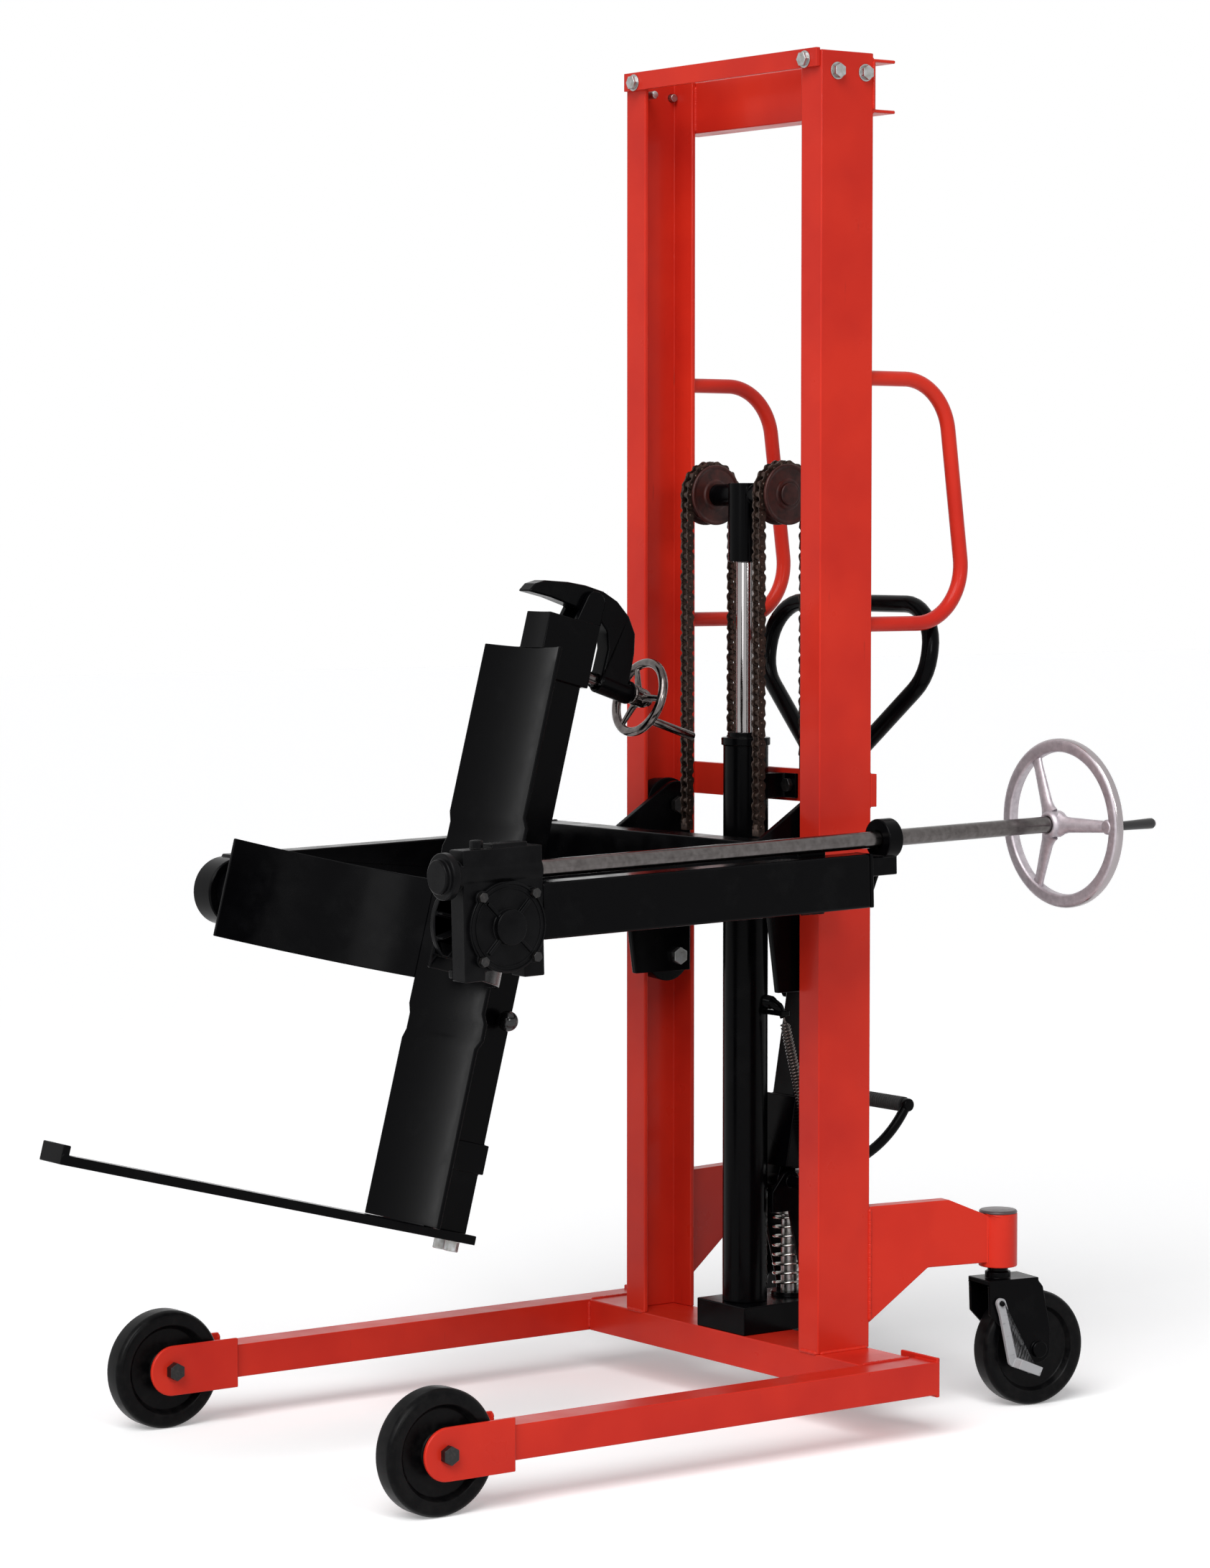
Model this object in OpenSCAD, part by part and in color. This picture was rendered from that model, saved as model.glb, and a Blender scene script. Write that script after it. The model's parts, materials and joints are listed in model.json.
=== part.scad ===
// Drum tipper: a four-wheeled mast truck that lifts a steel drum and tips it with a worm gear.
// Millimetres. X = 0 is the centre plane, +X the operator's left, -Y the front, Z = 0 the floor,
// and Y = 0 is the front face of the mast.

/* [Mast] */
// Height of the mast above the floor
mast_h = 2074; // [1900:1:2300]
// Half the width over both uprights
mast_half = 243; // [230:1:260]
// Depth of the upright channel, front to rear
channel_d = 100; // [90:1:110]
// Width of the upright channel's flanges
channel_w = 48; // [44:1:56]
// Thickness of the channel's web
web_t = 6; // [4:0.5:8]
// Thickness of the channel's flanges half way along
flange_t = 8.5; // [6:0.5:10]
// Height of the middle crossbar above the floor
mid_bar_z = 942; // [900:1:1000]
// Height of the middle crossbar
mid_bar_h = 50; // [40:1:60]
// Height of the top crossbar
top_bar_h = 80; // [60:1:100]

/* [Base] */
// Underside of the legs above the floor
leg_z = 66; // [60:1:80]
// Size of the square leg tube
leg_tube = 50; // [40:1:60]
// Distance from an upright's outer face to a leg's outer face
leg_offset = 151; // [140:1:170]
// Thickness of a fork plate at the front wheel
fork_t = 6; // [4:0.5:8]
// Distance of the front axle ahead of the mast
front_axle_y = 782; // [740:1:820]
// Radius of the four wheels
wheel_r = 90; // [80:1:95]
// Width of a front wheel
front_wheel_w = 42; // [36:1:44]
// Radius of the front axle
front_axle_r = 10; // [8:0.5:12]

/* [Casters] */
// Distance of a caster's kingpin from the centre plane
kingpin_x = 265; // [255:1:275]
// Distance of a caster's kingpin behind the mast's front face
kingpin_y = 341; // [320:1:360]
// Trail of the caster
caster_trail = 56; // [45:1:65]
// Width of a caster wheel
caster_wheel_w = 45; // [36:1:48]
// Swivel of the casters at rest, in degrees
caster_turn = 9; // [0:1:30]
// Height of the rear arms
rear_arm_h = 102; // [90:1:110]

/* [Lift] */
// Bore centre of the lift cylinder behind the mast's front face
ram_y = 50; // [46:1:54]
// Outer radius of the lift cylinder
cylinder_r = 35; // [30:0.5:37]
// Top of the lift cylinder above the floor
cylinder_top = 1040; // [1000:1:1060]
// Radius of the piston rod
rod_r = 15; // [12:0.5:18]
// Height of the chain wheels' axle
axle_z = 1415; // [1400:1:1430]
// Distance of a chain from the centre plane
chain_x = 90; // [80:1:100]
// Pitch of the roller chain
chain_pitch = 15.875; // [12.7:0.005:15.88]
// Number of links that a chain wheel holds over half a turn
wrap_links = 9; // [7:1:10]

/* [Carriage] */
// Top of the carriage beam above the floor
beam_top = 897; // [880:1:905]
// Height of the carriage beam
beam_h = 100; // [80:1:110]
// Depth of the carriage beam
beam_d = 50; // [40:1:60]
// Distance of the beam's rear face ahead of the mast
beam_gap = 65; // [60:1:75]
// Distance from an upright's outer face to an arm's inner face
arm_offset = 95; // [88:1:105]
// Width of an arm
arm_w = 40; // [32:1:40]
// Height of an arm
arm_h = 80; // [70:1:90]
// Height of the upper rollers
roller_top_z = 926; // [915:1:940]
// Distance between the upper and lower rollers
roller_span = 240; // [220:1:260]

/* [Tilting gear] */
// Distance of the tilt axis ahead of the mast
tilt_y = 668; // [650:1:690]
// Height of the tilt axis
tilt_z = 812; // [805:1:820]
// Lean of the cradle towards the mast at rest, in degrees
lean = 14.6; // [10:0.1:16]
// Slope of the arms, which rise from the tilt axis to the mast, in degrees
arm_slope = 1.4; // [0:0.1:2]
// Centre distance between worm and worm wheel
gear_centres = 75; // [72:1:80]
// Number of teeth on the worm wheel
worm_teeth = 60; // [40:1:60]
// Radius of the drive shaft
shaft_r = 12.5; // [10:0.5:14]
// Width of the gearbox casting
gearbox_w = 33; // [32:1:40]
// Radius of the tilt handwheel
handwheel_r = 130; // [110:1:140]

/* [Cradle] */
// Radius of the drum's wall between its hoops
drum_r = 286; // [280:0.5:290]
// Distance of the drum's axis ahead of the tilt axis
drum_ahead = 83; // [70:1:90]
// Depth of the cradle's foot under the tilt axis
foot_depth = 447; // [430:1:460]
// Thickness of the foot
foot_t = 14; // [10:1:16]
// Height of the drum
drum_h = 880; // [860:1:890]
// Width of the back bar
bar_w = 50; // [40:1:60]
// Distance of the back bar's rear face behind the tilt axis
bar_back = 292; // [285:1:300]
// Height of the saddle band
saddle_h = 150; // [120:1:180]
// Thickness of the saddle band
saddle_t = 6; // [5:0.5:8]

/* [Pump] */
// Radius of the pump plunger
plunger_r = 14; // [12:0.5:16]
// Coil radius of the pump spring
pump_coil_r = 26; // [22:0.5:28]
// Wire radius of the pump spring
pump_wire_r = 2; // [1.5:0.1:2.5]
// Number of curls in the pump spring
pump_curls = 8; // [6:1:10]
// Wire radius of the return spring
return_wire_r = 1.5; // [0.8:0.1:1.8]
// Coil radius of the return spring
return_coil_r = 6.5; // [5:0.5:8]

/* [Hidden] */
$fn = 48;

// Colours
frame_red = "#D8341F";
gloss_black = "#141414";
steel_grey = "#A9ABAB";
chain_brown = "#3A2620";

// Running clearances
fit = 0.05;
seat = 0.3;

leg_out = mast_half + leg_offset;
arm_in = mast_half + arm_offset;
leg_in = leg_out - leg_tube;
base_top = leg_z + leg_tube;
leg_mid = leg_out - leg_tube / 2;
leg_rear = 107;
fork_rear = 668;
fork_r = 38;
fork_h = 76;
tip_x = mast_half - channel_w;
sheave_pitch_r = chain_pitch / (2 * sin(90 / wrap_links));
chain_front_y = ram_y - sheave_pitch_r;
chain_rear_y = ram_y + sheave_pitch_r;
mid_bar_t = 12;
mid_bar_top = mid_bar_z + mid_bar_h;

module for_left() { children(); }
module for_right() { mirror([1, 0, 0]) children(); }

// A solid bar along X from x0 to x1
module bar_x(x0, x1, y, z, r) {
    translate([x0, y, z]) rotate([0, 90, 0]) cylinder(h = x1 - x0, r = r);
}

// A solid bar along Y from y0 to y1
module bar_y(y0, y1, x, z, r) {
    translate([x, y0, z]) rotate([-90, 0, 0]) cylinder(h = y1 - y0, r = r);
}

// A block between two corners
module block(a, b) {
    translate(a) cube(b - a);
}

// A plate standing in the YZ plane, from x0 to x1, with a [y, z] outline
module side_plate(x0, x1) {
    translate([x0, 0, 0]) rotate([90, 0, 90]) linear_extrude(x1 - x0) children();
}

// A hexagon head along X, from x0 to x1
module hex_x(x0, x1, y, z, flats) {
    translate([x0, y, z]) rotate([0, 90, 0]) cylinder(h = x1 - x0, r = flats / sqrt(3), $fn = 6);
}

// A hexagon head along Y, from y0 to y1
module hex_y(y0, y1, x, z, flats) {
    translate([x, y0, z]) rotate([-90, 0, 0]) cylinder(h = y1 - y0, r = flats / sqrt(3), $fn = 6);
}

// Sub-parts of the base

module leg() color(frame_red) {
    tube_front = front_axle_y - wheel_r - 6;
    wall = 4;
    difference() {
        union() {
            block([leg_in, -tube_front, leg_z], [leg_out, leg_rear, base_top]);
            for (x = [leg_in - fork_t, leg_out]) side_plate(x, x + fork_t) fork_outline();
            block([leg_in - 35, leg_rear, leg_z - 4], [leg_out, leg_rear + 6, base_top + 6]);
        }
        block([leg_in + wall, -tube_front + wall, leg_z + wall],
              [leg_out - wall, leg_rear - wall, base_top - wall]);
        bar_x(leg_in - 20, leg_out + 20, -front_axle_y, wheel_r, front_axle_r);
    }
}

module fork_outline() {
    translate([-front_axle_y, wheel_r]) circle(r = fork_r);
    translate([-front_axle_y, wheel_r - fork_r])
        square([front_axle_y - fork_rear, fork_h]);
}

module base_crossmember() color(frame_red) {
    wall = 5;
    difference() {
        block([-leg_in, 0, leg_z], [leg_in, channel_d, base_top]);
        block([-leg_in - 1, wall, leg_z + wall], [leg_in + 1, channel_d - wall, base_top - wall]);
    }
}

// Front wheel, with a rim, a dished web and a hub that runs on its axle
module wheel_profile(w, bore) {
    h = w / 2;
    rim = wheel_r * 0.8;
    hub = 26;
    polygon([
        [bore, -h - 1], [hub, -h - 1], [hub + 3, -h * 0.4], [rim - 6, -h * 0.4], [rim, -h + 2],
        [wheel_r - 6, -h], [wheel_r - 1.5, -h + 3], [wheel_r, -h + 8],
        [wheel_r, h - 8], [wheel_r - 1.5, h - 3], [wheel_r - 6, h],
        [rim, h - 2], [rim - 6, h * 0.4], [hub + 3, h * 0.4], [hub, h + 1], [bore, h + 1]
    ]);
}

module front_wheel() color(gloss_black) {
    translate([leg_mid, -front_axle_y, wheel_r]) rotate([0, 90, 0])
        rotate_extrude($fn = 96) wheel_profile(front_wheel_w, front_axle_r + fit);
}

// Channel section of an upright, with tapered flanges, open towards the centre plane
module channel_outline() {
    taper = 0.06 * (channel_w - web_t);
    t_root = flange_t + taper / 2;
    t_tip = flange_t - taper / 2;
    root_x = mast_half - web_t;
    polygon([
        [tip_x, 0], [mast_half, 0], [mast_half, channel_d], [tip_x, channel_d],
        [tip_x, channel_d - t_tip], [root_x, channel_d - t_root],
        [root_x, t_root], [tip_x, t_tip]
    ]);
}

// Inner face of a flange at a distance x from the centre plane
function flange_at(x) = flange_t + 0.06 * (x - (tip_x + mast_half - web_t) / 2);

tie_bolt_x = 213;
web_bolt_z = mast_h - 30;
web_bolt_ys = [30, 84];
bolt_r = 6;
tie_z = mast_h - 25;

module upright() color(frame_red) {
    difference() {
        translate([0, 0, base_top]) linear_extrude(mast_h - base_top) channel_outline();
        for (y = web_bolt_ys) bar_x(mast_half - web_t - 5, mast_half + 5, y, web_bolt_z, bolt_r);
        bar_y(-5, flange_t + 5, tie_bolt_x, tie_z + 12, bolt_r);
    }
}

module top_tie_bar() color(frame_red) {
    difference() {
        block([-mast_half + 3, -8, tie_z], [mast_half - 3, 0, mast_h + 3]);
        for (x = [-tie_bolt_x, tie_bolt_x]) bar_y(-10, 1, x, tie_z + 12, bolt_r);
    }
}

module top_crossbar() color(frame_red) {
    t = 5;
    top = mast_h - 8;
    depth = 43;
    difference() {
        block([-mast_half, channel_d, top - top_bar_h], [mast_half, channel_d + depth, top]);
        block([-mast_half - 1, channel_d + t, top - top_bar_h + t],
              [mast_half + 1, channel_d + depth + 1, top - t]);
    }
}

module mid_crossbar() color(frame_red) {
    difference() {
        block([-mast_half, channel_d, mid_bar_z], [mast_half, channel_d + mid_bar_t, mid_bar_top]);
        for (x = [-clamp_bolt_x, clamp_bolt_x])
            bar_y(channel_d - 1, channel_d + mid_bar_t + 1, x, mid_bar_z + mid_bar_h / 2, bolt_r);
    }
}

// Cylinder strap, bolted to the middle crossbar
clamp_bolt_x = 52;
strap_t = 6;
module cylinder_clamp() color(gloss_black) {
    z0 = mid_bar_z + 5;
    z1 = mid_bar_top - 7;
    difference() {
        union() {
            translate([0, ram_y, z0]) cylinder(h = z1 - z0, r = cylinder_r + strap_t);
            block([-cylinder_r - strap_t, ram_y, z0], [cylinder_r + strap_t, channel_d, z1]);
            block([-clamp_bolt_x - 16, channel_d - strap_t, z0], [clamp_bolt_x + 16, channel_d, z1]);
        }
        translate([0, ram_y, z0 - 1]) cylinder(h = z1 - z0 + 2, r = cylinder_r);
        for (x = [-clamp_bolt_x, clamp_bolt_x])
            bar_y(channel_d - strap_t - 1, channel_d + 1, x, mid_bar_z + mid_bar_h / 2, bolt_r);
    }
}

// Push handle: a bent tube in the YZ plane behind an upright
push_r = 11.5;
push_x = 218;
push_bend = 88;
push_path = [[channel_d - 0.5, 1590], [262, 1590], [310.6, 1218], [channel_d - 0.5, 1218]];
module push_handle() color(frame_red) {
    difference() {
        translate([push_x, 0, 0]) rotate([0, 0, 90]) tube_run(push_path, push_bend, push_r);
        block([push_x - 20, 90, 1100], [push_x + 20, channel_d, 1700]);
    }
}

// Rear arm: a flat box that splays out to the kingpin, with its gusset and kingpin tube
arm_root_x = 230.5;
rear_arm_t = 25;
rear_arm_z = 230;
kingpin_tube_r = 30;
kingpin_r = 16;
tube_z0 = 221;
tube_z1 = 304;
splay = atan((kingpin_x - arm_root_x) / (kingpin_y - channel_d));
arm_reach = norm([kingpin_x - arm_root_x, kingpin_y - channel_d]);

module rear_arm() color(frame_red) {
    top = rear_arm_z + rear_arm_h;
    difference() {
        union() {
            translate([arm_root_x, channel_d, 0]) rotate([0, 0, -splay])
                side_plate(-rear_arm_t / 2, rear_arm_t / 2)
                    polygon([[2.2, rear_arm_z - 76], [2.2, top], [146, top], [arm_reach - 20, tube_z1 - 4],
                             [arm_reach - 20, tube_z0 + 8], [108, rear_arm_z]]);
            translate([kingpin_x, kingpin_y, tube_z0]) cylinder(h = tube_z1 - tube_z0, r = kingpin_tube_r);
        }
        translate([kingpin_x, kingpin_y, tube_z0 - 1])
            cylinder(h = tube_z1 - tube_z0 - 3, r = kingpin_r + fit);
        block([0, 0, 0], [mast_half * 2, channel_d, mast_h]);
    }
}

// Bolts of the frame: mast heads, clamp bolts and the two front axles
module frame_bolts() color(steel_grey) {
    for (s = [-1, 1]) {
        for (y = web_bolt_ys) scale_x(s) {
            bar_x(mast_half - web_t - 8, mast_half, y, web_bolt_z, bolt_r - 0.1);
            hex_x(mast_half, mast_half + 9, y, web_bolt_z, 19);
        }
        bar_y(-8, flange_t + 4, s * tie_bolt_x, tie_z + 12, bolt_r - 0.1);
        hex_y(-16, -8, s * tie_bolt_x, tie_z + 12, 19);
        bar_y(channel_d - strap_t, channel_d + mid_bar_t, s * clamp_bolt_x,
              mid_bar_z + mid_bar_h / 2, bolt_r - 0.1);
        hex_y(channel_d - strap_t - 8, channel_d - strap_t, s * clamp_bolt_x,
              mid_bar_z + mid_bar_h / 2, 19);
        scale_x(s) {
            bar_x(leg_in - fork_t - 8, leg_out + fork_t, -front_axle_y, wheel_r, front_axle_r - 0.02);
            hex_x(leg_out + fork_t, leg_out + fork_t + 10, -front_axle_y, wheel_r, 24);
            hex_x(leg_in - fork_t - 12, leg_in - fork_t, -front_axle_y, wheel_r, 24);
        }
    }
}

module scale_x(s) {
    if (s > 0) children();
    else mirror([1, 0, 0]) children();
}

// Casters: everything is drawn with the kingpin as Z axis and the wheel straight behind it
module at_caster() {
    translate([kingpin_x, kingpin_y, 0]) rotate([0, 0, -caster_turn]) children();
}
fork_top = 203;
cheek_t = 5;
cheek_in = caster_wheel_w / 2 + 3;
caster_axle_r = 8;

module caster_fork() color(gloss_black) at_caster() {
    difference() {
        union() {
            block([-cheek_in - cheek_t, -35, fork_top - 8], [cheek_in + cheek_t, 56, fork_top]);
            for (s = [-1, 1]) scale_x(s) side_plate(cheek_in, cheek_in + cheek_t)
                difference() {
                    cheek_outline();
                    translate([caster_trail, wheel_r]) circle(r = caster_axle_r);
                }
            cylinder(h = tube_z1 - 6, r = kingpin_r);
            translate([0, 0, fork_top]) cylinder(h = 10, r = kingpin_r + 4);
        }
        translate([0, 0, 0]) cylinder(h = fork_top - 8, r = 60);
    }
    for (s = [-1, 1]) scale_x(s) side_plate(cheek_in, cheek_in + cheek_t)
        difference() {
            cheek_outline();
            translate([caster_trail, wheel_r]) circle(r = caster_axle_r);
        }
    bar_x(-cheek_in - cheek_t - 5, cheek_in + cheek_t + 5, caster_trail, wheel_r, caster_axle_r);
    for (s = [-1, 1]) scale_x(s)
        bar_x(cheek_in + cheek_t, cheek_in + cheek_t + 6, caster_trail, wheel_r, 13);
    bar_x(cheek_in + 1, cheek_in + cheek_t + seat + 11, brake_pivot[0], brake_pivot[1], brake_pin_r);
}

module cheek_outline() {
    hull() {
        translate([caster_trail, wheel_r]) circle(r = 22, $fn = 32);
        polygon([[-35, fork_top], [52, fork_top], [64, 188], [caster_trail + 22, 120],
                 [caster_trail - 18, wheel_r - 12], [-33, 150]]);
    }
}

module caster_wheel() color(gloss_black) at_caster() {
    translate([0, caster_trail, wheel_r]) rotate([0, 90, 0])
        rotate_extrude($fn = 96) wheel_profile(caster_wheel_w - 2, caster_axle_r + fit);
}

// Brake lever: a cranked bar with a ribbed pedal, and the shoe bar across the fork
brake_pivot = [-16, 168];
brake_pin_r = 4;
module caster_brake() color(steel_grey) at_caster() {
    x0 = cheek_in + cheek_t + seat;
    side_plate(x0, x0 + 7) difference() {
        union() {
            hull() {
                translate(brake_pivot) circle(r = 8, $fn = 24);
                translate([brake_pivot[0] + 6, 150]) circle(r = 8, $fn = 24);
            }
            hull() {
                translate([brake_pivot[0] + 6, 150]) circle(r = 8, $fn = 24);
                translate([6, 76]) circle(r = 7.5, $fn = 24);
            }
            hull() {
                translate([6, 76]) circle(r = 7.5, $fn = 24);
                translate([40, 62]) circle(r = 8, $fn = 24);
            }
        }
        translate(brake_pivot) circle(r = brake_pin_r + fit);
    }
    difference() {
        side_plate(x0, x0 + 26) polygon([[4, 68], [42, 53], [48, 66], [10, 82]]);
        for (i = [0 : 4]) translate([x0 + 8 + 3.6 * i, 10, 82]) rotate([-22.8, 0, 0])
            translate([0, -4, -1.4]) cube([1.4, 52, 3]);
    }
}

// Lift: cylinder, rod, crosshead, chain wheels and chains

base_block_top = 160;
module lift_cylinder() color(gloss_black) {
    wall = 7;
    difference() {
        union() {
            translate([0, ram_y, base_block_top])
                cylinder(h = cylinder_top - base_block_top - 12, r = cylinder_r);
            translate([0, ram_y, cylinder_top - 12]) cylinder(h = 12, r = cylinder_r + 3);
            translate([0, ram_y, cylinder_top]) cylinder(h = 8, r = 29, $fn = 6);
            spring_lug();
        }
        translate([0, ram_y, base_block_top + 20]) cylinder(h = cylinder_top, r = cylinder_r - wall);
    }
    difference() {
        translate([0, ram_y, cylinder_top - 40]) cylinder(h = 48, r = cylinder_r - wall);
        translate([0, ram_y, cylinder_top - 41]) cylinder(h = 60, r = rod_r + fit);
    }
}

// Bent lug on the back of the cylinder that holds the return spring's upper hook
spring_top = [60, 78, 608.4];
module spring_lug() {
    z = spring_top[2] + 0.6;
    difference() {
        block([20, spring_top[1] - 8, z], [spring_top[0] + 6, spring_top[1] + 8, z + 8]);
        translate([0, ram_y, 100]) cylinder(h = 1000, r = cylinder_r - 1);
    }
}

rod_top = axle_z - 40;
module piston_rod() color("#D5D8DA") {
    translate([0, ram_y, cylinder_top - 200]) cylinder(h = rod_top - cylinder_top + 200, r = rod_r);
}

sleeve_r = 28;
sleeve_z = 1312;
sheave_axle_r = 12;
module crosshead() color(gloss_black) {
    difference() {
        union() {
            translate([0, ram_y, sleeve_z]) cylinder(h = axle_z + 18 - sleeve_z, r = sleeve_r);
            bar_x(-chain_x + 17, chain_x - 17, ram_y, axle_z, 17);
            bar_x(sleeve_r - 4, sleeve_r + 10, ram_y, sleeve_z + 18, 7);
        }
        translate([0, ram_y, sleeve_z - 1]) cylinder(h = rod_top - sleeve_z + 1, r = rod_r);
    }
    for (s = [-1, 1]) scale_x(s) {
        bar_x(chain_x - 17, chain_x + 17, ram_y, axle_z, sheave_axle_r);
        bar_x(chain_x + 16.4, chain_x + 20, ram_y, axle_z, 17);
    }
}

sheave_root = sheave_pitch_r - 7.6;
sheave_rim = sheave_pitch_r + 1;
groove = 11;
module sheave() color(chain_brown) {
    half = 16;
    translate([chain_x, ram_y, axle_z]) rotate([0, 90, 0]) rotate_extrude($fn = 72)
        polygon([
            [sheave_axle_r + fit, -half], [22, -half], [24, -half + 2], [sheave_rim - 6, -half + 2],
            [sheave_rim - 4, -half], [sheave_rim, -half], [sheave_rim, -groove], [sheave_root, -groove],
            [sheave_root, groove], [sheave_rim, groove], [sheave_rim, half], [sheave_rim - 4, half],
            [sheave_rim - 6, half - 2], [24, half - 2], [22, half], [sheave_axle_r + fit, half]
        ]);
}

// Roller chain. A link's plates are waisted and lie in pairs, inner and outer in turn.
plate_r = 7.2;
plate_waist = 5.2;
plate_t = 2;
inner_x = 4.8;
outer_x = inner_x + plate_t + 0.1;
roller_r = 5;
pin_r = 2.9;
pin_half = outer_x + plate_t + 1;

// Outline of one plate from joint to joint, along +Y of its own plane
module link_outline() {
    steps = 3;
    polygon(concat(
        [for (i = [0 : steps]) let (a = 210 + i * 120 / steps) [plate_r * cos(a), plate_r * sin(a)]],
        [[plate_waist, chain_pitch / 2]],
        [for (i = [0 : steps]) let (a = 30 + i * 120 / steps)
            [plate_r * cos(a), chain_pitch + plate_r * sin(a)]],
        [[-plate_waist, chain_pitch / 2]]
    ));
}

// One link with its lower joint at the origin, lying in the YZ plane along +Z
module link(outer) {
    x = outer ? outer_x : inner_x;
    for (s = [-1, 1]) scale_x(s) side_plate(x, x + plate_t) link_outline();
}

module joint() {
    rotate([0, 90, 0]) {
        translate([0, 0, -pin_half]) cylinder(h = 2 * pin_half, r = pin_r, $fn = 8);
        translate([0, 0, -inner_x]) cylinder(h = 2 * inner_x, r = roller_r, $fn = 10);
    }
}

// A straight strand that hangs from its top joint
module strand(count) {
    difference() {
        for (i = [1 : count]) translate([0, 0, -i * chain_pitch]) {
            link(i % 2 == 1);
            joint();
        }
        bar_x(-pin_half - 1, pin_half + 1, 0, 0, pin_r + 0.4);
    }
}

front_links = floor((axle_z - beam_top - 8) / chain_pitch);
rear_links = floor((axle_z - mid_bar_top - 14) / chain_pitch);

// Threaded chain anchor under the last joint
module chain_end(length) {
    block([-8, -6, -14], [8, 6, 4]);
    translate([0, 0, -14 - length]) cylinder(h = length, r = 6);
}

module chain_front_strands() color(chain_brown) {
    for (x = [-chain_x, chain_x]) translate([x, chain_front_y, axle_z]) {
        strand(front_links);
        translate([0, 0, -front_links * chain_pitch])
            chain_end(axle_z - front_links * chain_pitch - 14 - anchor_z);
    }
}

module chain_rear_strands() color(chain_brown) {
    for (x = [-chain_x, chain_x]) translate([x, chain_rear_y, axle_z]) {
        strand(rear_links);
        translate([0, 0, -rear_links * chain_pitch])
            block([-8, -6, mid_bar_top - axle_z + rear_links * chain_pitch], [8, 6, 4]);
    }
}

module chain_wraps() color(chain_brown) {
    step = 180 / wrap_links;
    for (x = [-chain_x, chain_x]) translate([x, ram_y, axle_z])
        for (i = [0 : wrap_links - 1]) rotate([-i * step, 0, 0]) translate([0, -sheave_pitch_r, 0]) {
            rotate([-step / 2, 0, 0]) link(i % 2 == 1);
            joint();
        }
    for (x = [-chain_x, chain_x]) translate([x, chain_rear_y, axle_z]) joint();
}

// Carriage

plate_in = 175;
plate_out = 185;
roller_low_z = roller_top_z - roller_span;
anchor_z = beam_top - 30;
roller_pin_r = 10;
roller_x0 = tip_x + 3;
roller_x1 = mast_half - web_t - 4;

module carriage_plates() color(gloss_black) {
    for (s = [-1, 1]) scale_x(s) side_plate(plate_in, plate_out) difference() {
        carriage_outline();
        for (z = [roller_low_z, roller_top_z]) translate([ram_y, z]) circle(r = roller_pin_r);
    }
}

module carriage_outline() {
    low_front = -32;
    hull() {
        translate([ram_y, roller_top_z + 4]) circle(r = 34, $fn = 32);
        translate([-beam_gap, beam_top - 20]) square([60, 20]);
    }
    hull() {
        translate([-beam_gap + 12, beam_top - 20]) square([ram_y + beam_gap + 14, 20]);
        translate([-beam_gap, beam_top - beam_h]) square([ram_y + beam_gap + 26, 30]);
    }
    hull() {
        translate([-beam_gap + 14, beam_top - beam_h]) square([ram_y + beam_gap + 12, 20]);
        translate([low_front, roller_low_z - 24]) square([ram_y - low_front + 26, 24]);
    }
}

module carriage_beam() color(gloss_black) {
    wall = 6;
    y0 = -beam_gap - beam_d;
    difference() {
        block([-arm_in, y0, beam_top - beam_h], [arm_in, -beam_gap, beam_top]);
        block([-arm_in + wall, y0 + wall, beam_top - beam_h + wall],
              [arm_in - wall, -beam_gap - wall, beam_top - wall]);
    }
    for (s = [-1, 1]) difference() {
        block([s * chain_x - 14, -beam_gap, anchor_z - 16], [s * chain_x + 14, chain_front_y + 14, anchor_z]);
        translate([s * chain_x, chain_front_y, anchor_z - 17]) cylinder(h = 18, r = 6);
    }
}

gearbox_y0 = -tilt_y - 70;
gearbox_y1 = -tilt_y + 64;
arm_out = arm_in + arm_w;
arm_mid_z = tilt_z + 16;
arm_z0 = arm_mid_z - arm_h / 2;
arm_z1 = arm_mid_z + arm_h / 2;
arm_rear_y = -11;
gearbox_in = arm_out - gearbox_w;
shaft_x = arm_out - gearbox_w / 2;
shaft_z = tilt_z + gear_centres;

// Turns whatever sits on the arms about the tilt axis, to their slope
module on_arms() {
    translate([0, -tilt_y, tilt_z]) rotate([arm_slope, 0, 0]) translate([0, tilt_y, -tilt_z]) children();
}

module arm_left() color(gloss_black) on_arms() {
    block([arm_in, gearbox_y1, arm_z0], [arm_out, arm_rear_y, arm_z1]);
}

module arm_right() color(gloss_black) on_arms() {
    difference() {
        union() {
            block([-arm_out, gearbox_y1, arm_z0], [-arm_in, arm_rear_y, arm_z1]);
            bar_x(-arm_out, -arm_in + 8, -tilt_y, tilt_z, 52);
            block([-arm_out, -tilt_y, arm_z0], [-arm_in, gearbox_y1, arm_z1]);
        }
        bar_x(-arm_out - 1, -arm_in + 10, -tilt_y, tilt_z, trunnion_r + fit);
    }
}

// Conical rollers that fill the tapered channel
module roller_pair(z) {
    r0 = ram_y - flange_at(roller_x0) - seat;
    r1 = ram_y - flange_at(roller_x1) - seat;
    for (s = [-1, 1]) scale_x(s) translate([0, ram_y, z]) rotate([0, 90, 0]) rotate_extrude($fn = 64)
        polygon([[roller_pin_r + fit, roller_x0], [r0 - 1, roller_x0], [r0, roller_x0 + 1],
                 [r1, roller_x1 - 1], [r1 - 1, roller_x1], [roller_pin_r + fit, roller_x1]]);
}
module rollers_upper() color("#2A2522") roller_pair(roller_top_z);
module rollers_lower() color("#2A2522") roller_pair(roller_low_z);

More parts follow.
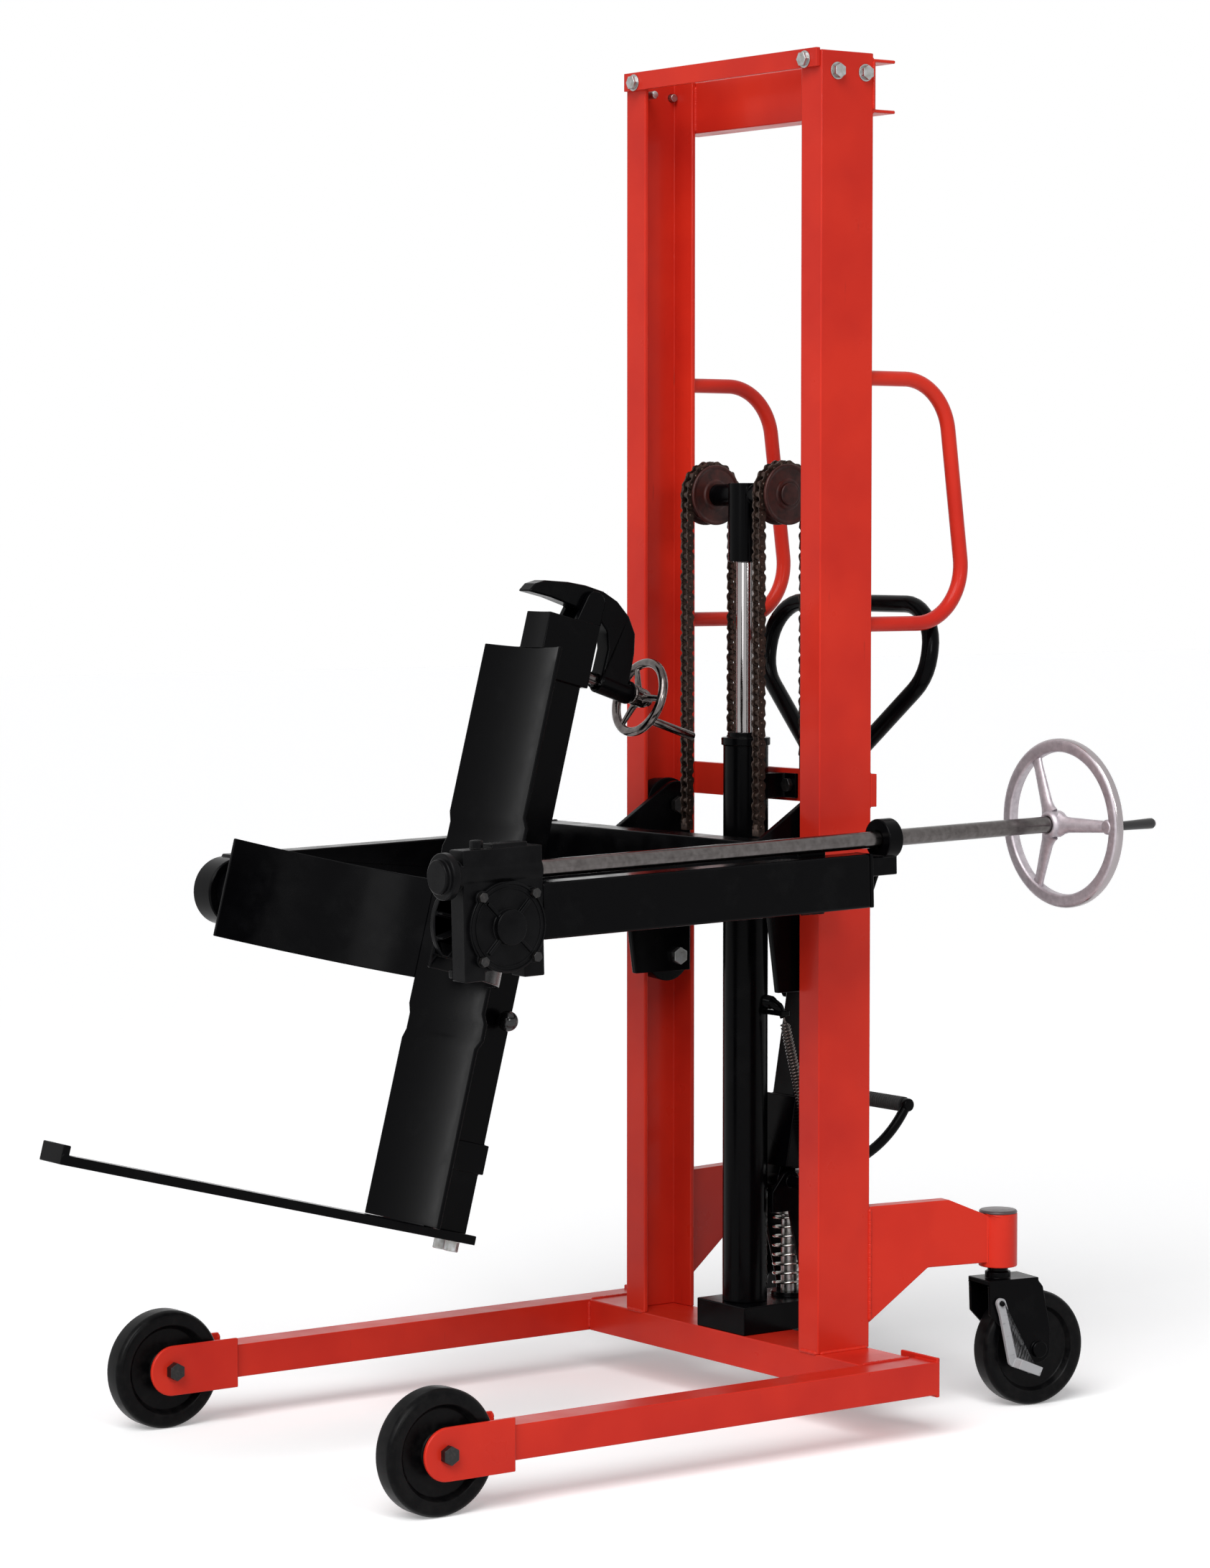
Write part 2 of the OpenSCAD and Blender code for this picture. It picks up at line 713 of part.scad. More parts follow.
// Gearbox casting: a flat case round the worm wheel with a round chamber for the worm on top
gear_face = 20;
worm_core = 14;
wheel_outer = gear_centres - worm_core - 1;
cover_r = 64;
hub_bore = 16;
chamber_r = 20;
cover_flat = shaft_z - sqrt(chamber_r * chamber_r - gearbox_w * gearbox_w / 4) - 0.6;

module gearbox_housing() color("#1A1A1A") on_arms() {
    case_t = 4;
    x0 = gearbox_in;
    x1 = arm_out;
    top = tilt_z + 110;
    difference() {
        union() {
            block([x0, gearbox_y0, tilt_z - 60], [x1, gearbox_y1, top]);
            for (y = [gearbox_y0, gearbox_y1 - 34]) block([x0, y, tilt_z - 73], [x1, y + 34, tilt_z - 60]);
            bar_y(gearbox_y0 - 8, gearbox_y1, shaft_x, shaft_z, chamber_r);
            bar_y(gearbox_y0 - 16, gearbox_y0, shaft_x, shaft_z, 16);
            bar_y(gearbox_y0 - 26, gearbox_y0 - 14, shaft_x, shaft_z, 33);
            bar_y(gearbox_y0 - 34, gearbox_y0 - 24, shaft_x, shaft_z, 24);
            block([x0 + 4, gearbox_y0 + 52, top - 1], [x1 - 4, gearbox_y1 - 22, top + 6]);
            bar_x(x0 - 12, x0, -tilt_y, tilt_z, 30);
            block([x0 - 12, gearbox_y0 + 2, tilt_z - 70], [x0, gearbox_y0 + 14, tilt_z - 58]);
        }
        bar_x(x0 + case_t + 1, x1 + 1, -tilt_y, tilt_z, wheel_outer + 1);
        bar_y(gearbox_y0 + 8, gearbox_y1 + 1, shaft_x, shaft_z, worm_core + 1);
        bar_x(x0 - 13, x1, -tilt_y, tilt_z, hub_bore + fit);
    }
    hex_z(shaft_x, gearbox_y0 + 34, top, 12, 17);
}

module hex_z(x, y, z, h, flats) {
    translate([x, y, z]) cylinder(h = h, r = flats / sqrt(3), $fn = 6);
}

// Round cover with its hub and four diagonal ribs, bolted on at four corners
cover_t = 6;
module gearbox_cover() color("#1A1A1A") on_arms() {
    difference() {
        translate([0, -tilt_y, tilt_z]) union() {
            side_plate(arm_out, arm_out + cover_t) {
                circle(r = cover_r);
                for (a = [45 : 90 : 315]) rotate(a) translate([cover_r - 4, 0]) circle(r = 11);
            }
            bar_x(arm_out + cover_t - 1, arm_out + cover_t + 10, 0, 0, 25);
            for (a = [45 : 90 : 315]) rotate([a, 0, 0])
                block([arm_out + cover_t - 1, 22, -2.5], [arm_out + cover_t + 5, 50, 2.5]);
        }
        bar_x(arm_out - 1, arm_out + cover_t - 1.5, -tilt_y, tilt_z, hub_bore + fit);
        block([arm_out - 1, -tilt_y - 100, cover_flat],
              [arm_out + 30, -tilt_y + 100, shaft_z + chamber_r]);
    }
}

module carriage_bolts() color(steel_grey) {
    for (s = [-1, 1], z = [roller_low_z, roller_top_z]) scale_x(s) {
        bar_x(plate_in, roller_x1 + 2, ram_y, z, roller_pin_r - 0.02);
        bar_x(plate_out, roller_x0 - 0.5, ram_y, z, roller_pin_r + 5);
        hex_x(plate_in - 10, plate_in, ram_y, z, 24);
    }
    on_arms() for (a = [45 : 90 : 315]) translate([0, -tilt_y, tilt_z]) rotate([a, 0, 0])
        hex_x(arm_out + cover_t, arm_out + cover_t + 7, cover_r - 1, 0, 13);
}

// Bearing ring on the rear end of the left arm
ring_y0 = 16;
ring_y1 = 42;
module shaft_bearing() color(gloss_black) on_arms() {
    difference() {
        union() {
            bar_y(ring_y0, ring_y1, shaft_x, shaft_z, 30);
            block([shaft_x - 14, ring_y0, arm_z1 - 34], [shaft_x + 14, ring_y1, shaft_z]);
            block([arm_in, arm_rear_y, arm_z0], [arm_out, arm_rear_y + 6, arm_z1]);
            block([shaft_x - 14, arm_rear_y, arm_z1 - 34], [shaft_x + 14, ring_y0 + 2, arm_z1 - 6]);
        }
        bar_y(ring_y0 - 1, ring_y1 + 1, shaft_x, shaft_z, shaft_r + fit);
    }
}

// Drive shaft with its worm, and the handwheel
rim_y = 376;
rim_t = 18;
module drive_shaft() color(steel_grey) on_arms() {
    bar_y(gearbox_y0 + 10, rim_y, shaft_x, shaft_z, shaft_r);
    bar_y(-tilt_y - 34, -tilt_y + 34, shaft_x, shaft_z, worm_core);
}

module tilt_handwheel() color("#C9CBCB") on_arms() {
    hub_r = 21;
    rim_w = 21;
    translate([shaft_x, rim_y, shaft_z]) rotate([-90, 0, 0]) {
        difference() {
            union() {
                rotate_extrude($fn = 96) translate([handwheel_r - rim_w, 0])
                    polygon([[0, 3], [3, 0], [rim_w - 4, 0], [rim_w, 4], [rim_w, rim_t - 4],
                             [rim_w - 4, rim_t], [3, rim_t], [0, rim_t - 3]]);
                translate([0, 0, -24]) cylinder(h = 32, r = hub_r);
                for (a = [0, 120, 240]) rotate([0, 0, a]) spoke(hub_r - 6, handwheel_r - rim_w + 2);
            }
            translate([0, 0, -25]) cylinder(h = 25, r = shaft_r);
        }
        translate([grip_x, 0, rim_t - 6]) cylinder(h = grip_l + 8, r = grip_pin_r);
        translate([grip_x, 0, rim_t + grip_l + 2 * seat]) cylinder(h = 2.5, r = grip_pin_r + 2);
    }
}

module spoke(r0, r1) {
    rotate([90, 0, 0]) translate([0, 0, -10]) linear_extrude(20)
        polygon([[r0, -18], [r1, 4], [r1, 13], [r0, -5]]);
}

grip_x = handwheel_r - 24;
grip_l = 78;
grip_pin_r = 4;
module crank_grip() color(gloss_black) on_arms() {
    translate([shaft_x + grip_x, rim_y, shaft_z]) rotate([-90, 0, 0]) {
        difference() {
            translate([0, 0, rim_t + seat]) cylinder(h = grip_l, r1 = 7, r2 = 8.5);
            translate([0, 0, rim_t]) cylinder(h = grip_l + 1, r = grip_pin_r + fit);
        }
    }
}

// Cradle: everything is drawn upright about the tilt axis and then leant back
module in_cradle() {
    translate([0, -tilt_y, tilt_z]) rotate([-lean, 0, 0]) children();
}
trunnion_r = 20;
shell_r = drum_r + 1.5;
hoop_z = 147;
hoop_mid = foot_t - foot_depth + drum_h / 2;
hoop_out = 6.5;

// Section of a plate that follows the drum's wall and hoops
module wall_section(r, t, z0, z1) {
    zs = [for (z = [hoop_mid - hoop_z, hoop_mid + hoop_z]) z];
    path = concat([[0, z0]],
        [for (h = zs, p = [[0, -26], [hoop_out, -12], [hoop_out, 12], [0, 26]])
            if (h + p[1] > z0 && h + p[1] < z1) [p[0], h + p[1]]],
        [[0, z1]]);
    polygon(concat([for (p = path) [r + p[0], p[1]]],
                   [for (i = [len(path) - 1 : -1 : 0]) [r + t + path[i][0], path[i][1]]]));
}

module sector(angle) {
    translate([0, -drum_ahead, 0]) rotate([0, 0, 90 - angle / 2]) rotate_extrude(angle = angle, $fn = 96)
        children();
}

trough_t = 6;
trough_turn = 39;
trough_z0 = foot_t - foot_depth - seat;
trough_z1 = 440;
hub_face = shell_r + saddle_t + 0.5;
module drum_saddle() color(gloss_black) in_cradle() {
    half_h = saddle_h / 2;
    reach = 84;
    for (s = [-1, 1]) scale_x(s) translate([0, -drum_ahead, 0]) rotate([0, 0, 90 - reach])
        rotate_extrude(angle = reach - trough_turn / 2, $fn = 96)
            translate([shell_r, -half_h]) square([saddle_t, saddle_h]);
    difference() {
        union() {
            block([260, -52, -56], [hub_face, 52, 56]);
            bar_x(-arm_out - 6, -270, 0, 0, trunnion_r);
            bar_x(-arm_in + 9, -270, 0, 0, trunnion_r + 20);
        }
        translate([0, -drum_ahead, -100]) cylinder(h = 200, r = shell_r + 3);
    }
}

module back_bar() color(gloss_black) in_cradle() {
    sector(trough_turn) wall_section(shell_r, trough_t, trough_z0, trough_z1);
    difference() {
        union() {
            block([-bar_w / 2, 150, trough_z0], [bar_w / 2, bar_back, trough_z1 + 20]);
            block([-bar_w / 2 - 5, 150, trough_z1 - 40], [bar_w / 2 + 5, bar_back + 10, trough_z1 + 56]);
            for (s = [-1, 1]) scale_x(s) side_plate(hook_w / 2 + seat, bar_w / 2 + 2) hull() {
                translate(hook_pivot) circle(r = 17, $fn = 32);
                translate([bar_back - 32, trough_z1 + 40]) square([42, 16]);
            }
            bar_x(-bar_w / 2 - 2, bar_w / 2 + 2, hook_pivot[0], hook_pivot[1], 8);
            block([-bar_w / 2 - 4, 150, trough_z0 + 90], [bar_w / 2 + 4, bar_back + 6, trough_z0 + 134]);
        }
        translate([0, -drum_ahead, 0]) rotate_extrude($fn = 96)
            square_from_axis();
        bar_x(bar_w / 2 - 14, bar_w / 2 + 10, latch_y, latch_z, 6 + fit);
    }
}

module square_from_axis() {
    r = shell_r + trough_t / 2;
    polygon(concat([[0, trough_z0 - 1], [r, trough_z0 - 1]],
        [for (h = [hoop_mid - hoop_z, hoop_mid + hoop_z],
              p = [[0, -26], [hoop_out, -12], [hoop_out, 12], [0, 26]]) [r + p[0], h + p[1]]],
        [[r, trough_z1 + 61], [0, trough_z1 + 61]]));
}

foot_front = -412;
module bottom_arm() color(gloss_black) in_cradle() {
    z0 = -foot_depth;
    z1 = foot_t - foot_depth;
    // The bar and its trough stand in a shallow seat behind the face that carries the drum
    difference() {
        block([-45, -300, z0], [45, 298, z1]);
        difference() {
            block([-46, 150, z1 - seat], [46, 299, z1 + 1]);
            translate([0, -drum_ahead, z1 - 1]) cylinder(h = 3, r = shell_r - seat, $fn = 96);
        }
    }
    translate([0, 0, z0]) linear_extrude(foot_t)
        polygon([[-45, -300], [45, -300], [30, foot_front], [-30, foot_front]]);
    block([-30, foot_front, z1], [30, foot_front + 12, z1 + 14]);
    for (x = [-15, 15]) hex_z(x, bar_back - 14, z0 - 16, 16, 19);
}

// Hub flange between the gearbox and the saddle, with ribs, and the output shaft
module tilt_hub() color("#1A1A1A") in_cradle() {
    difference() {
        union() {
            bar_x(hub_face, hub_face + 10, 0, 0, 71);
            bar_x(hub_face, gearbox_in - 12 - seat, 0, 0, 24);
            bar_x(hub_face, arm_out + 4, 0, 0, hub_bore);
            for (a = [0 : 30 : 330]) translate([hub_face + 9, 0, 0]) rotate([a, 0, 0])
                translate([0, 20, -2]) cube([14, 48, 4]);
        }
        translate([hub_face - 1, -100, -92]) cube([30, 200, 36]);
    }
}

module worm_wheel() color("#B08A3E") in_cradle() {
    x0 = shaft_x - gear_face / 2;
    tooth = 360 / worm_teeth;
    difference() {
        translate([x0, 0, 0]) rotate([90, 0, 90]) linear_extrude(gear_face)
            polygon([for (i = [0 : worm_teeth - 1], p = [[0, -0.32], [1, -0.16], [1, 0.16], [0, 0.32]])
                let (r = wheel_outer - 4.5 + 4.5 * p[0], a = (i + p[1]) * tooth) [r * cos(a), r * sin(a)]]);
        bar_x(x0 - 1, x0 + gear_face + 1, 0, 0, hub_bore);
    }
}

// Drum clamp: a hooked lever on top of the back bar, its screw and its handwheel
hook_pivot = [287, 529];
hook_w = 32;
screw_slope = 4;
boss_at = [366, 418];
screw_r = 9;

module at_screw() {
    translate([0, boss_at[0], boss_at[1]]) rotate([-90 - screw_slope, 0, 0]) children();
}

module clamp_hook() color(gloss_black) in_cradle() {
    difference() {
        union() {
            side_plate(-hook_w / 2, hook_w / 2) polygon([
                [171, 518], [180, 532], [196, 541], [238, 549], [271, 552], [305, 551], [334, 543],
                [361, 526], [379, 503], [385, 474], [387, 420], [334, 416], [335, 469], [327, 494],
                [311, 506], [277, 508], [255, 516], [213, 519]]);
            at_screw() translate([0, 0, -31]) cylinder(h = 66, r = 18);
        }
        at_screw() translate([0, 0, -80]) cylinder(h = 160, r = screw_r + fit);
        bar_x(-hook_w, hook_w, hook_pivot[0], hook_pivot[1], 8 + fit);
    }
}

module clamp_screw() color(steel_grey) in_cradle() at_screw() {
    translate([0, 0, -63]) cylinder(h = 138, r = screw_r);
}

module clamp_handwheel() color("#8E8E8C") in_cradle() at_screw() {
    r = 62;
    z0 = 56;
    difference() {
        union() {
            rotate_extrude($fn = 72) translate([r - 7, z0]) circle(r = 7, $fn = 32);
            translate([0, 0, z0 - 18]) cylinder(h = 30, r = 15);
            for (a = [0, 120, 240]) rotate([0, 0, a]) translate([0, -5, z0 - 5]) cube([r - 8, 10, 10]);
            rotate([0, 0, 39]) translate([r - 7, 0, z0]) cylinder(h = 85, r = 6.5);
        }
        translate([0, 0, -100]) cylinder(h = 240, r = screw_r + fit);
    }
}

latch_y = 272;
latch_z = -113;
module latch_knob() color(gloss_black) in_cradle() {
    bar_x(bar_w / 2 - 12, bar_w / 2 + 16, latch_y, latch_z, 6);
    translate([bar_w / 2 + 21, latch_y, latch_z]) sphere(r = 15.5);
}

// Pump, tiller and pedal
pump_y = 140;
pump_top = 166;
tiller_pivot = [112, 345];
pivot_r = 9;
cap_z = 289;
plunger_foot = 147;
cap_top = 312;
cheek_x = 29;

module pump_block() color(gloss_black) {
    difference() {
        union() {
            block([-60, 2, base_top], [60, pump_y + 42, base_block_top]);
            translate([0, pump_y, base_block_top]) cylinder(h = pump_top - base_block_top, r = 30);
            for (s = [-1, 1]) scale_x(s) side_plate(cheek_x, cheek_x + 8) {
                hull() {
                    translate([76, 298]) square([62, 32]);
                    translate(tiller_pivot) circle(r = 18, $fn = 32);
                }
                polygon([[142, base_top + 6], [182, base_top + 6], [182, 172],
                         [138, 312], [108, 312], [142, 172]]);
            }
        }
        translate([0, pump_y, base_top + 6]) cylinder(h = 60, r = plunger_r + fit);
        translate([0, ram_y, base_block_top]) cylinder(h = 400, r = cylinder_r + 1);
    }
    bar_x(-pedal_half - 5, pedal_half + 5, tiller_pivot[0], tiller_pivot[1], pivot_r);
}

module pump_plunger() color(steel_grey) {
    translate([0, pump_y, plunger_foot]) cylinder(h = cap_z + 1 - plunger_foot, r = plunger_r);
    translate([0, pump_y, cap_z]) cylinder(h = cap_top - cap_z, r = 25);
}

// A tube of 6 sides along rings of points, closed at both ends
module tube_mesh(rings) {
    n = len(rings);
    s = len(rings[0]);
    polyhedron(
        points = [for (ring = rings, p = ring) p],
        faces = concat(
            [for (i = [0 : n - 2], j = [0 : s - 1]) let (k = (j + 1) % s)
                [i * s + j, (i + 1) * s + k, i * s + k]],
            [for (i = [0 : n - 2], j = [0 : s - 1]) let (k = (j + 1) % s)
                [i * s + j, (i + 1) * s + j, (i + 1) * s + k]],
            [for (j = [1 : s - 2]) [0, j, j + 1]],
            [for (j = [1 : s - 2]) [(n - 1) * s, (n - 1) * s + j + 1, (n - 1) * s + j]]
        )
    );
}

function unit(v) = v / norm(v);

// Rings round a path, held square to it, with "up" as a hint for their first side
function path_rings(path, r, up, sides = 6) = [for (i = [0 : len(path) - 1])
    let (q = path[i], a = i == 0 ? 2 * q - path[1] : path[i - 1],
         b = i == len(path) - 1 ? 2 * q - path[i - 1] : path[i + 1],
         t = unit(unit(b - q) + unit(q - a)), u = unit(up[i] - t * (up[i] * t)), v = cross(t, u))
    [for (j = [0 : sides - 1]) q + r * (cos(360 * j / sides) * u + sin(360 * j / sides) * v)]];

curl_rings = 8;

// A coil along +Z: straight lead-in, curls, straight lead-out
function coil_path(r, pitch, curls, lead) = [for (i = [0 : curls * curl_rings])
    let (a = i * 360 / curl_rings) [r * cos(a), r * sin(a), lead + pitch * i / curl_rings]];
function coil_up(curls) = [for (i = [0 : curls * curl_rings])
    let (a = i * 360 / curl_rings) [cos(a), sin(a), 0]];

module pump_spring() color(steel_grey) {
    z0 = pump_top + pump_wire_r + seat;
    z1 = cap_z - pump_wire_r - seat;
    pitch = (z1 - z0) / pump_curls;
    echo(pump_spring_gap = pitch - 2 * pump_wire_r);
    translate([0, pump_y, z0])
        tube_mesh(path_rings(coil_path(pump_coil_r, pitch, pump_curls, 0), pump_wire_r, coil_up(pump_curls)));
}

spring_low = [60, 143, 363.6];
module return_spring() color(steel_grey) {
    span = norm(spring_top - spring_low);
    pitch = 5.2;
    hook = 12;
    curls = floor((span - 2 * hook) / pitch);
    echo(return_spring_gap = pitch - 2 * return_wire_r);
    d = unit(spring_top - spring_low);
    body = coil_path(return_coil_r, (span - 2 * hook) / curls, curls, hook);
    path = concat([[0, 0, 0], [0, 0, hook - 3]], body, [[0, 0, span - hook + 3], [0, 0, span]]);
    up = concat([[1, 0, 0], [1, 0, 0]], coil_up(curls), [[1, 0, 0], [1, 0, 0]]);
    translate(spring_low) rotate([-atan2(d[1], d[2]), 0, 0])
        tube_mesh(path_rings(path, return_wire_r, up));
}

// Tiller: head, column, chest plate and loop handle, leaning back in its own plane
tiller_lean = 9.7;
module in_tiller() {
    translate([0, tiller_pivot[0], tiller_pivot[1]]) rotate([-tiller_lean, 0, 0]) children();
}
loop_r = 13.5;
module tiller() color(gloss_black) {
    nose = [28, cap_top + seat + 14 - tiller_pivot[1]];
    difference() {
        union() {
            in_tiller() {
                block([-48, -22, 22], [48, 22, 132]);
                block([-26, -16, -10], [26, 16, 30]);
                block([-26, -9, 100], [26, 9, 590]);
                translate([0, 10, 0]) rotate([90, 0, 0]) linear_extrude(6)
                    polygon([[-50, 284], [50, 284], [62, 296], [112, 400], [150, 530], [146, 540],
                             [84, 582], [-84, 582], [-146, 540], [-150, 530], [-112, 400], [-62, 296]]);
            }
            bar_x(-26, 26, tiller_pivot[0], tiller_pivot[1], 18);
            bar_x(-14, 14, tiller_pivot[0] + nose[0], tiller_pivot[1] + nose[1], 14);
            side_plate(-14, 14) hull() {
                translate(tiller_pivot) circle(r = 16, $fn = 32);
                translate(tiller_pivot + nose) circle(r = 13, $fn = 32);
            }
            in_tiller() for (s = [-1, 1]) scale_x(s) side_plate(13.3, 20) hull() {
                translate([0, 620]) circle(r = 11, $fn = 24);
                translate([-9, 570]) square([18, 10]);
            }
        }
        bar_x(-60, 60, tiller_pivot[0], tiller_pivot[1], pivot_r + fit);
        in_tiller() bar_x(-30, 30, 0, 620, 5 + fit);
    }
    in_tiller() loop_handle();
}

// Loop of the handle: a teardrop of round tube in the plane of the column
module loop_handle() {
    tube_run([[34.5, 560], [34.5, 656.6], [199, 801], [199, 914],
              [-199, 914], [-199, 801], [-34.5, 656.6], [-34.5, 560]], 72, loop_r);
}

function turn_at(p, i) = let (u = unit(p[i] - p[i - 1]), v = unit(p[i + 1] - p[i]))
    atan2(u[0] * v[1] - u[1] * v[0], u * v);

// Points round one bend of a path, from tangent to tangent
function bend_points(p, i, bend, steps) = let (
        u = unit(p[i] - p[i - 1]), t = turn_at(p, i), side = sign(t),
        from = p[i] - u * bend * tan(abs(t) / 2),
        centre = from + side * bend * [-u[1], u[0]], a0 = atan2(u[1], u[0]) - side * 90)
    [for (k = [0 : steps]) centre + bend * [cos(a0 + t * k / steps), sin(a0 + t * k / steps)]];
function rounded(p, bend) = [for (i = [0 : len(p) - 1])
    each (i == 0 || i == len(p) - 1) ? [p[i]]
        : bend_points(p, i, bend, max(2, ceil(abs(turn_at(p, i)) / 11)))];

// A round tube in the XZ plane along [x, z] points, with bends of one radius
module tube_run(p, bend, r) {
    path = [for (q = rounded(p, bend)) [q[0], 0, q[1]]];
    tube_mesh(path_rings(path, r, [for (q = path) [0, 1, 0]], 20));
}

module release_lever() color(gloss_black) in_tiller() {
    release_shape();
}

// Lever on a pin between two ears at the top of the column, that lets the oil back
release_z = 620;
module release_shape() {
    bar_x(-20.4, 20.4, 0, release_z, 5);
    block([-13, -7, release_z - 6], [13, 7, release_z + 14]);
    block([-10, -4, release_z + 10], [10, 4, 850]);
    bar_x(-42, 42, 0, 852, 8);
}

grip_at = [317, 453];
elbow = [246, 386];
pedal_half = 78;
module pedal() color(gloss_black) {
    difference() {
        for (s = [-1, 1]) scale_x(s) side_plate(pedal_half - 10, pedal_half) {
            hull() {
                translate(tiller_pivot) circle(r = 15, $fn = 32);
                translate(elbow) circle(r = 7, $fn = 32);
            }
            hull() {
                translate(elbow) circle(r = 8, $fn = 32);
                translate(grip_at) circle(r = 9, $fn = 32);
            }
        }
        bar_x(-100, 100, tiller_pivot[0], tiller_pivot[1], pivot_r + fit);
    }
    bar_x(-pedal_half + 5, pedal_half - 5, grip_at[0], grip_at[1], 7);
    bar_x(spring_low[0] - 4, pedal_half - 5, spring_low[1], spring_low[2] - 3.8, 3);
}

module pedal_grip() color("#1B1B1B") {
    difference() {
        bar_x(-pedal_half + 10 + seat, pedal_half - 10 - seat, grip_at[0], grip_at[1], 12);
        bar_x(-pedal_half, pedal_half, grip_at[0], grip_at[1], 7);
    }
}

for_left() leg();  // leg_left
for_right() leg();  // leg_right
base_crossmember();
for_left() upright();  // upright_left
for_right() upright();  // upright_right
top_tie_bar();
top_crossbar();
mid_crossbar();
for_left() push_handle();  // push_handle_left
for_right() push_handle();  // push_handle_right
for_left() rear_arm();  // rear_arm_left
for_right() rear_arm();  // rear_arm_right
frame_bolts();
lift_cylinder();
cylinder_clamp();
pump_block();
piston_rod();
crosshead();
for_left() sheave();  // sheave_left
for_right() sheave();  // sheave_right
chain_wraps();
chain_rear_strands();
chain_front_strands();
carriage_plates();
carriage_beam();
arm_left();
arm_right();
rollers_upper();
rollers_lower();
gearbox_housing();
gearbox_cover();
carriage_bolts();
shaft_bearing();
drive_shaft();
tilt_handwheel();
crank_grip();
drum_saddle();
back_bar();
bottom_arm();
tilt_hub();
worm_wheel();
clamp_hook();
clamp_screw();
clamp_handwheel();
latch_knob();
for_left() front_wheel();  // front_wheel_left
for_right() front_wheel();  // front_wheel_right
for_left() caster_fork();  // caster_fork_left
for_right() caster_fork();  // caster_fork_right
for_left() caster_wheel();  // caster_wheel_left
for_right() caster_wheel();  // caster_wheel_right
for_left() caster_brake();  // caster_brake_left
for_right() caster_brake();  // caster_brake_right
tiller();
release_lever();
pump_plunger();
pump_spring();
pedal();
pedal_grip();
return_spring();
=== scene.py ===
"""Drum tipper, dressed: steelwork, chains, springs, castings and turned parts, with finishes and a studio."""

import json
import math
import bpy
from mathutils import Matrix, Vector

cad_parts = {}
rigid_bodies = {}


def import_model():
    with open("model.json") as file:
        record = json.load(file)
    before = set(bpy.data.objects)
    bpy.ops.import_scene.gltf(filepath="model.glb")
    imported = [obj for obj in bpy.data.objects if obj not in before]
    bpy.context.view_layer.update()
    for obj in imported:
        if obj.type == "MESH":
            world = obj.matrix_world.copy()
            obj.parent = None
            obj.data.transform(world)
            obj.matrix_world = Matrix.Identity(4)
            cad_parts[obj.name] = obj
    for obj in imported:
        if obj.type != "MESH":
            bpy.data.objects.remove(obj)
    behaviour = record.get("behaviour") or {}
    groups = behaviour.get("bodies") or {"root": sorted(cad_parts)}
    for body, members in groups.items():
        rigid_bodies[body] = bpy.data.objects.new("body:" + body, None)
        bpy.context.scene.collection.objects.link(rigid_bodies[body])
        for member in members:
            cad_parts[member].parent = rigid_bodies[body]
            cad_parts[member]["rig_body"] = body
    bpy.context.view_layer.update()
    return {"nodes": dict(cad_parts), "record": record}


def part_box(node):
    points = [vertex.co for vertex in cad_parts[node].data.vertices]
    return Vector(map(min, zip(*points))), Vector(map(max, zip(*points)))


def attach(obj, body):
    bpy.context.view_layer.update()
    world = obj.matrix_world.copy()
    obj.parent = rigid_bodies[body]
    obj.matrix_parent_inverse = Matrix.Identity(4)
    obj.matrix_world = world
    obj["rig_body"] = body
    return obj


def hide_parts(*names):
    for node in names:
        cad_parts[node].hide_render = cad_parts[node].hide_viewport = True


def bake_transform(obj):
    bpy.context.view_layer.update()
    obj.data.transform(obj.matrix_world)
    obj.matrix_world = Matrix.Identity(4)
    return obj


bl_info = {
    "name": "Drum tipper",
    "version": (1, 0, 0),
    "blender": (4, 5, 0),
    "location": "View3D > Sidebar > Drum tipper",
    "description": "Builds the finished pieces of a drum tipper round its packed solids",
    "category": "Object",
}

import bmesh
import bpy
from bpy.props import FloatProperty, FloatVectorProperty, PointerProperty
from mathutils import Matrix, Vector

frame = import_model()

MM = 0.001

# Places, sizes and counts of the pieces. Lengths are in millimetres and angles in radians.
RAM_Y = 50.0
AXLE_Z = 1415.0
CHAIN_X = 90.0
CHAIN_PITCH = 15.875
PLATE_R = 7.2
WRAP_LINKS = 9
CHAIN_R = CHAIN_PITCH / (2 * math.sin(math.pi / 2 / WRAP_LINKS))
BEAM_TOP = 897.0
MID_BAR_Z = (942.0, 992.0)
FRONT_LINKS = int((AXLE_Z - BEAM_TOP - 8) // CHAIN_PITCH)
REAR_LINKS = int((AXLE_Z - MID_BAR_Z[1] - 14) // CHAIN_PITCH)
TILT_Y = -668.0
TILT_Z = 812.0
LEAN = math.radians(14.6)
SHAFT_X = 361.5
SHAFT_Z = 887.0
ARM_SLOPE = math.radians(1.4)
RIM_Y = 376.0
PUMP_Y = 140.0
KINGPIN = (265.0, 341.0)
FOOT_DEPTH = 447.0
TIE_BOLT_X = 213.0
MAST_HALF = 243.0
MAST_BACK = 101.0
HANDLE_X = 218.0
HANDLE_Z = (1590, 1218)
PEDAL_PIVOT = (112, 345)
PEDAL_GRIP = (317, 453)
GRIP_HALF = 67.5
GRIP_RIBS = 25
WELD_RIPPLE = 3.2
TOP_BOLT_Z = (2061.0, 2044.0)
WEB_BOLT_Y = (30.0, 84.0)
BALL_R = 15.5
WHEEL_R = 90.0
CASTER_TRAIL = 56.0
PISTON_Z = (430, 1375)
CASTER_TURN = math.radians(9.0)

TILT_AXIS = Matrix.Translation((0, TILT_Y, TILT_Z))
CRADLE = TILT_AXIS @ Matrix.Rotation(-LEAN, 4, "X")
ARMS = TILT_AXIS @ Matrix.Rotation(ARM_SLOPE, 4, "X") @ Matrix.Translation((0, -TILT_Y, -TILT_Z))
SPOKES = [math.radians(a) for a in (0, 120, 240)]


# Colour and nodes


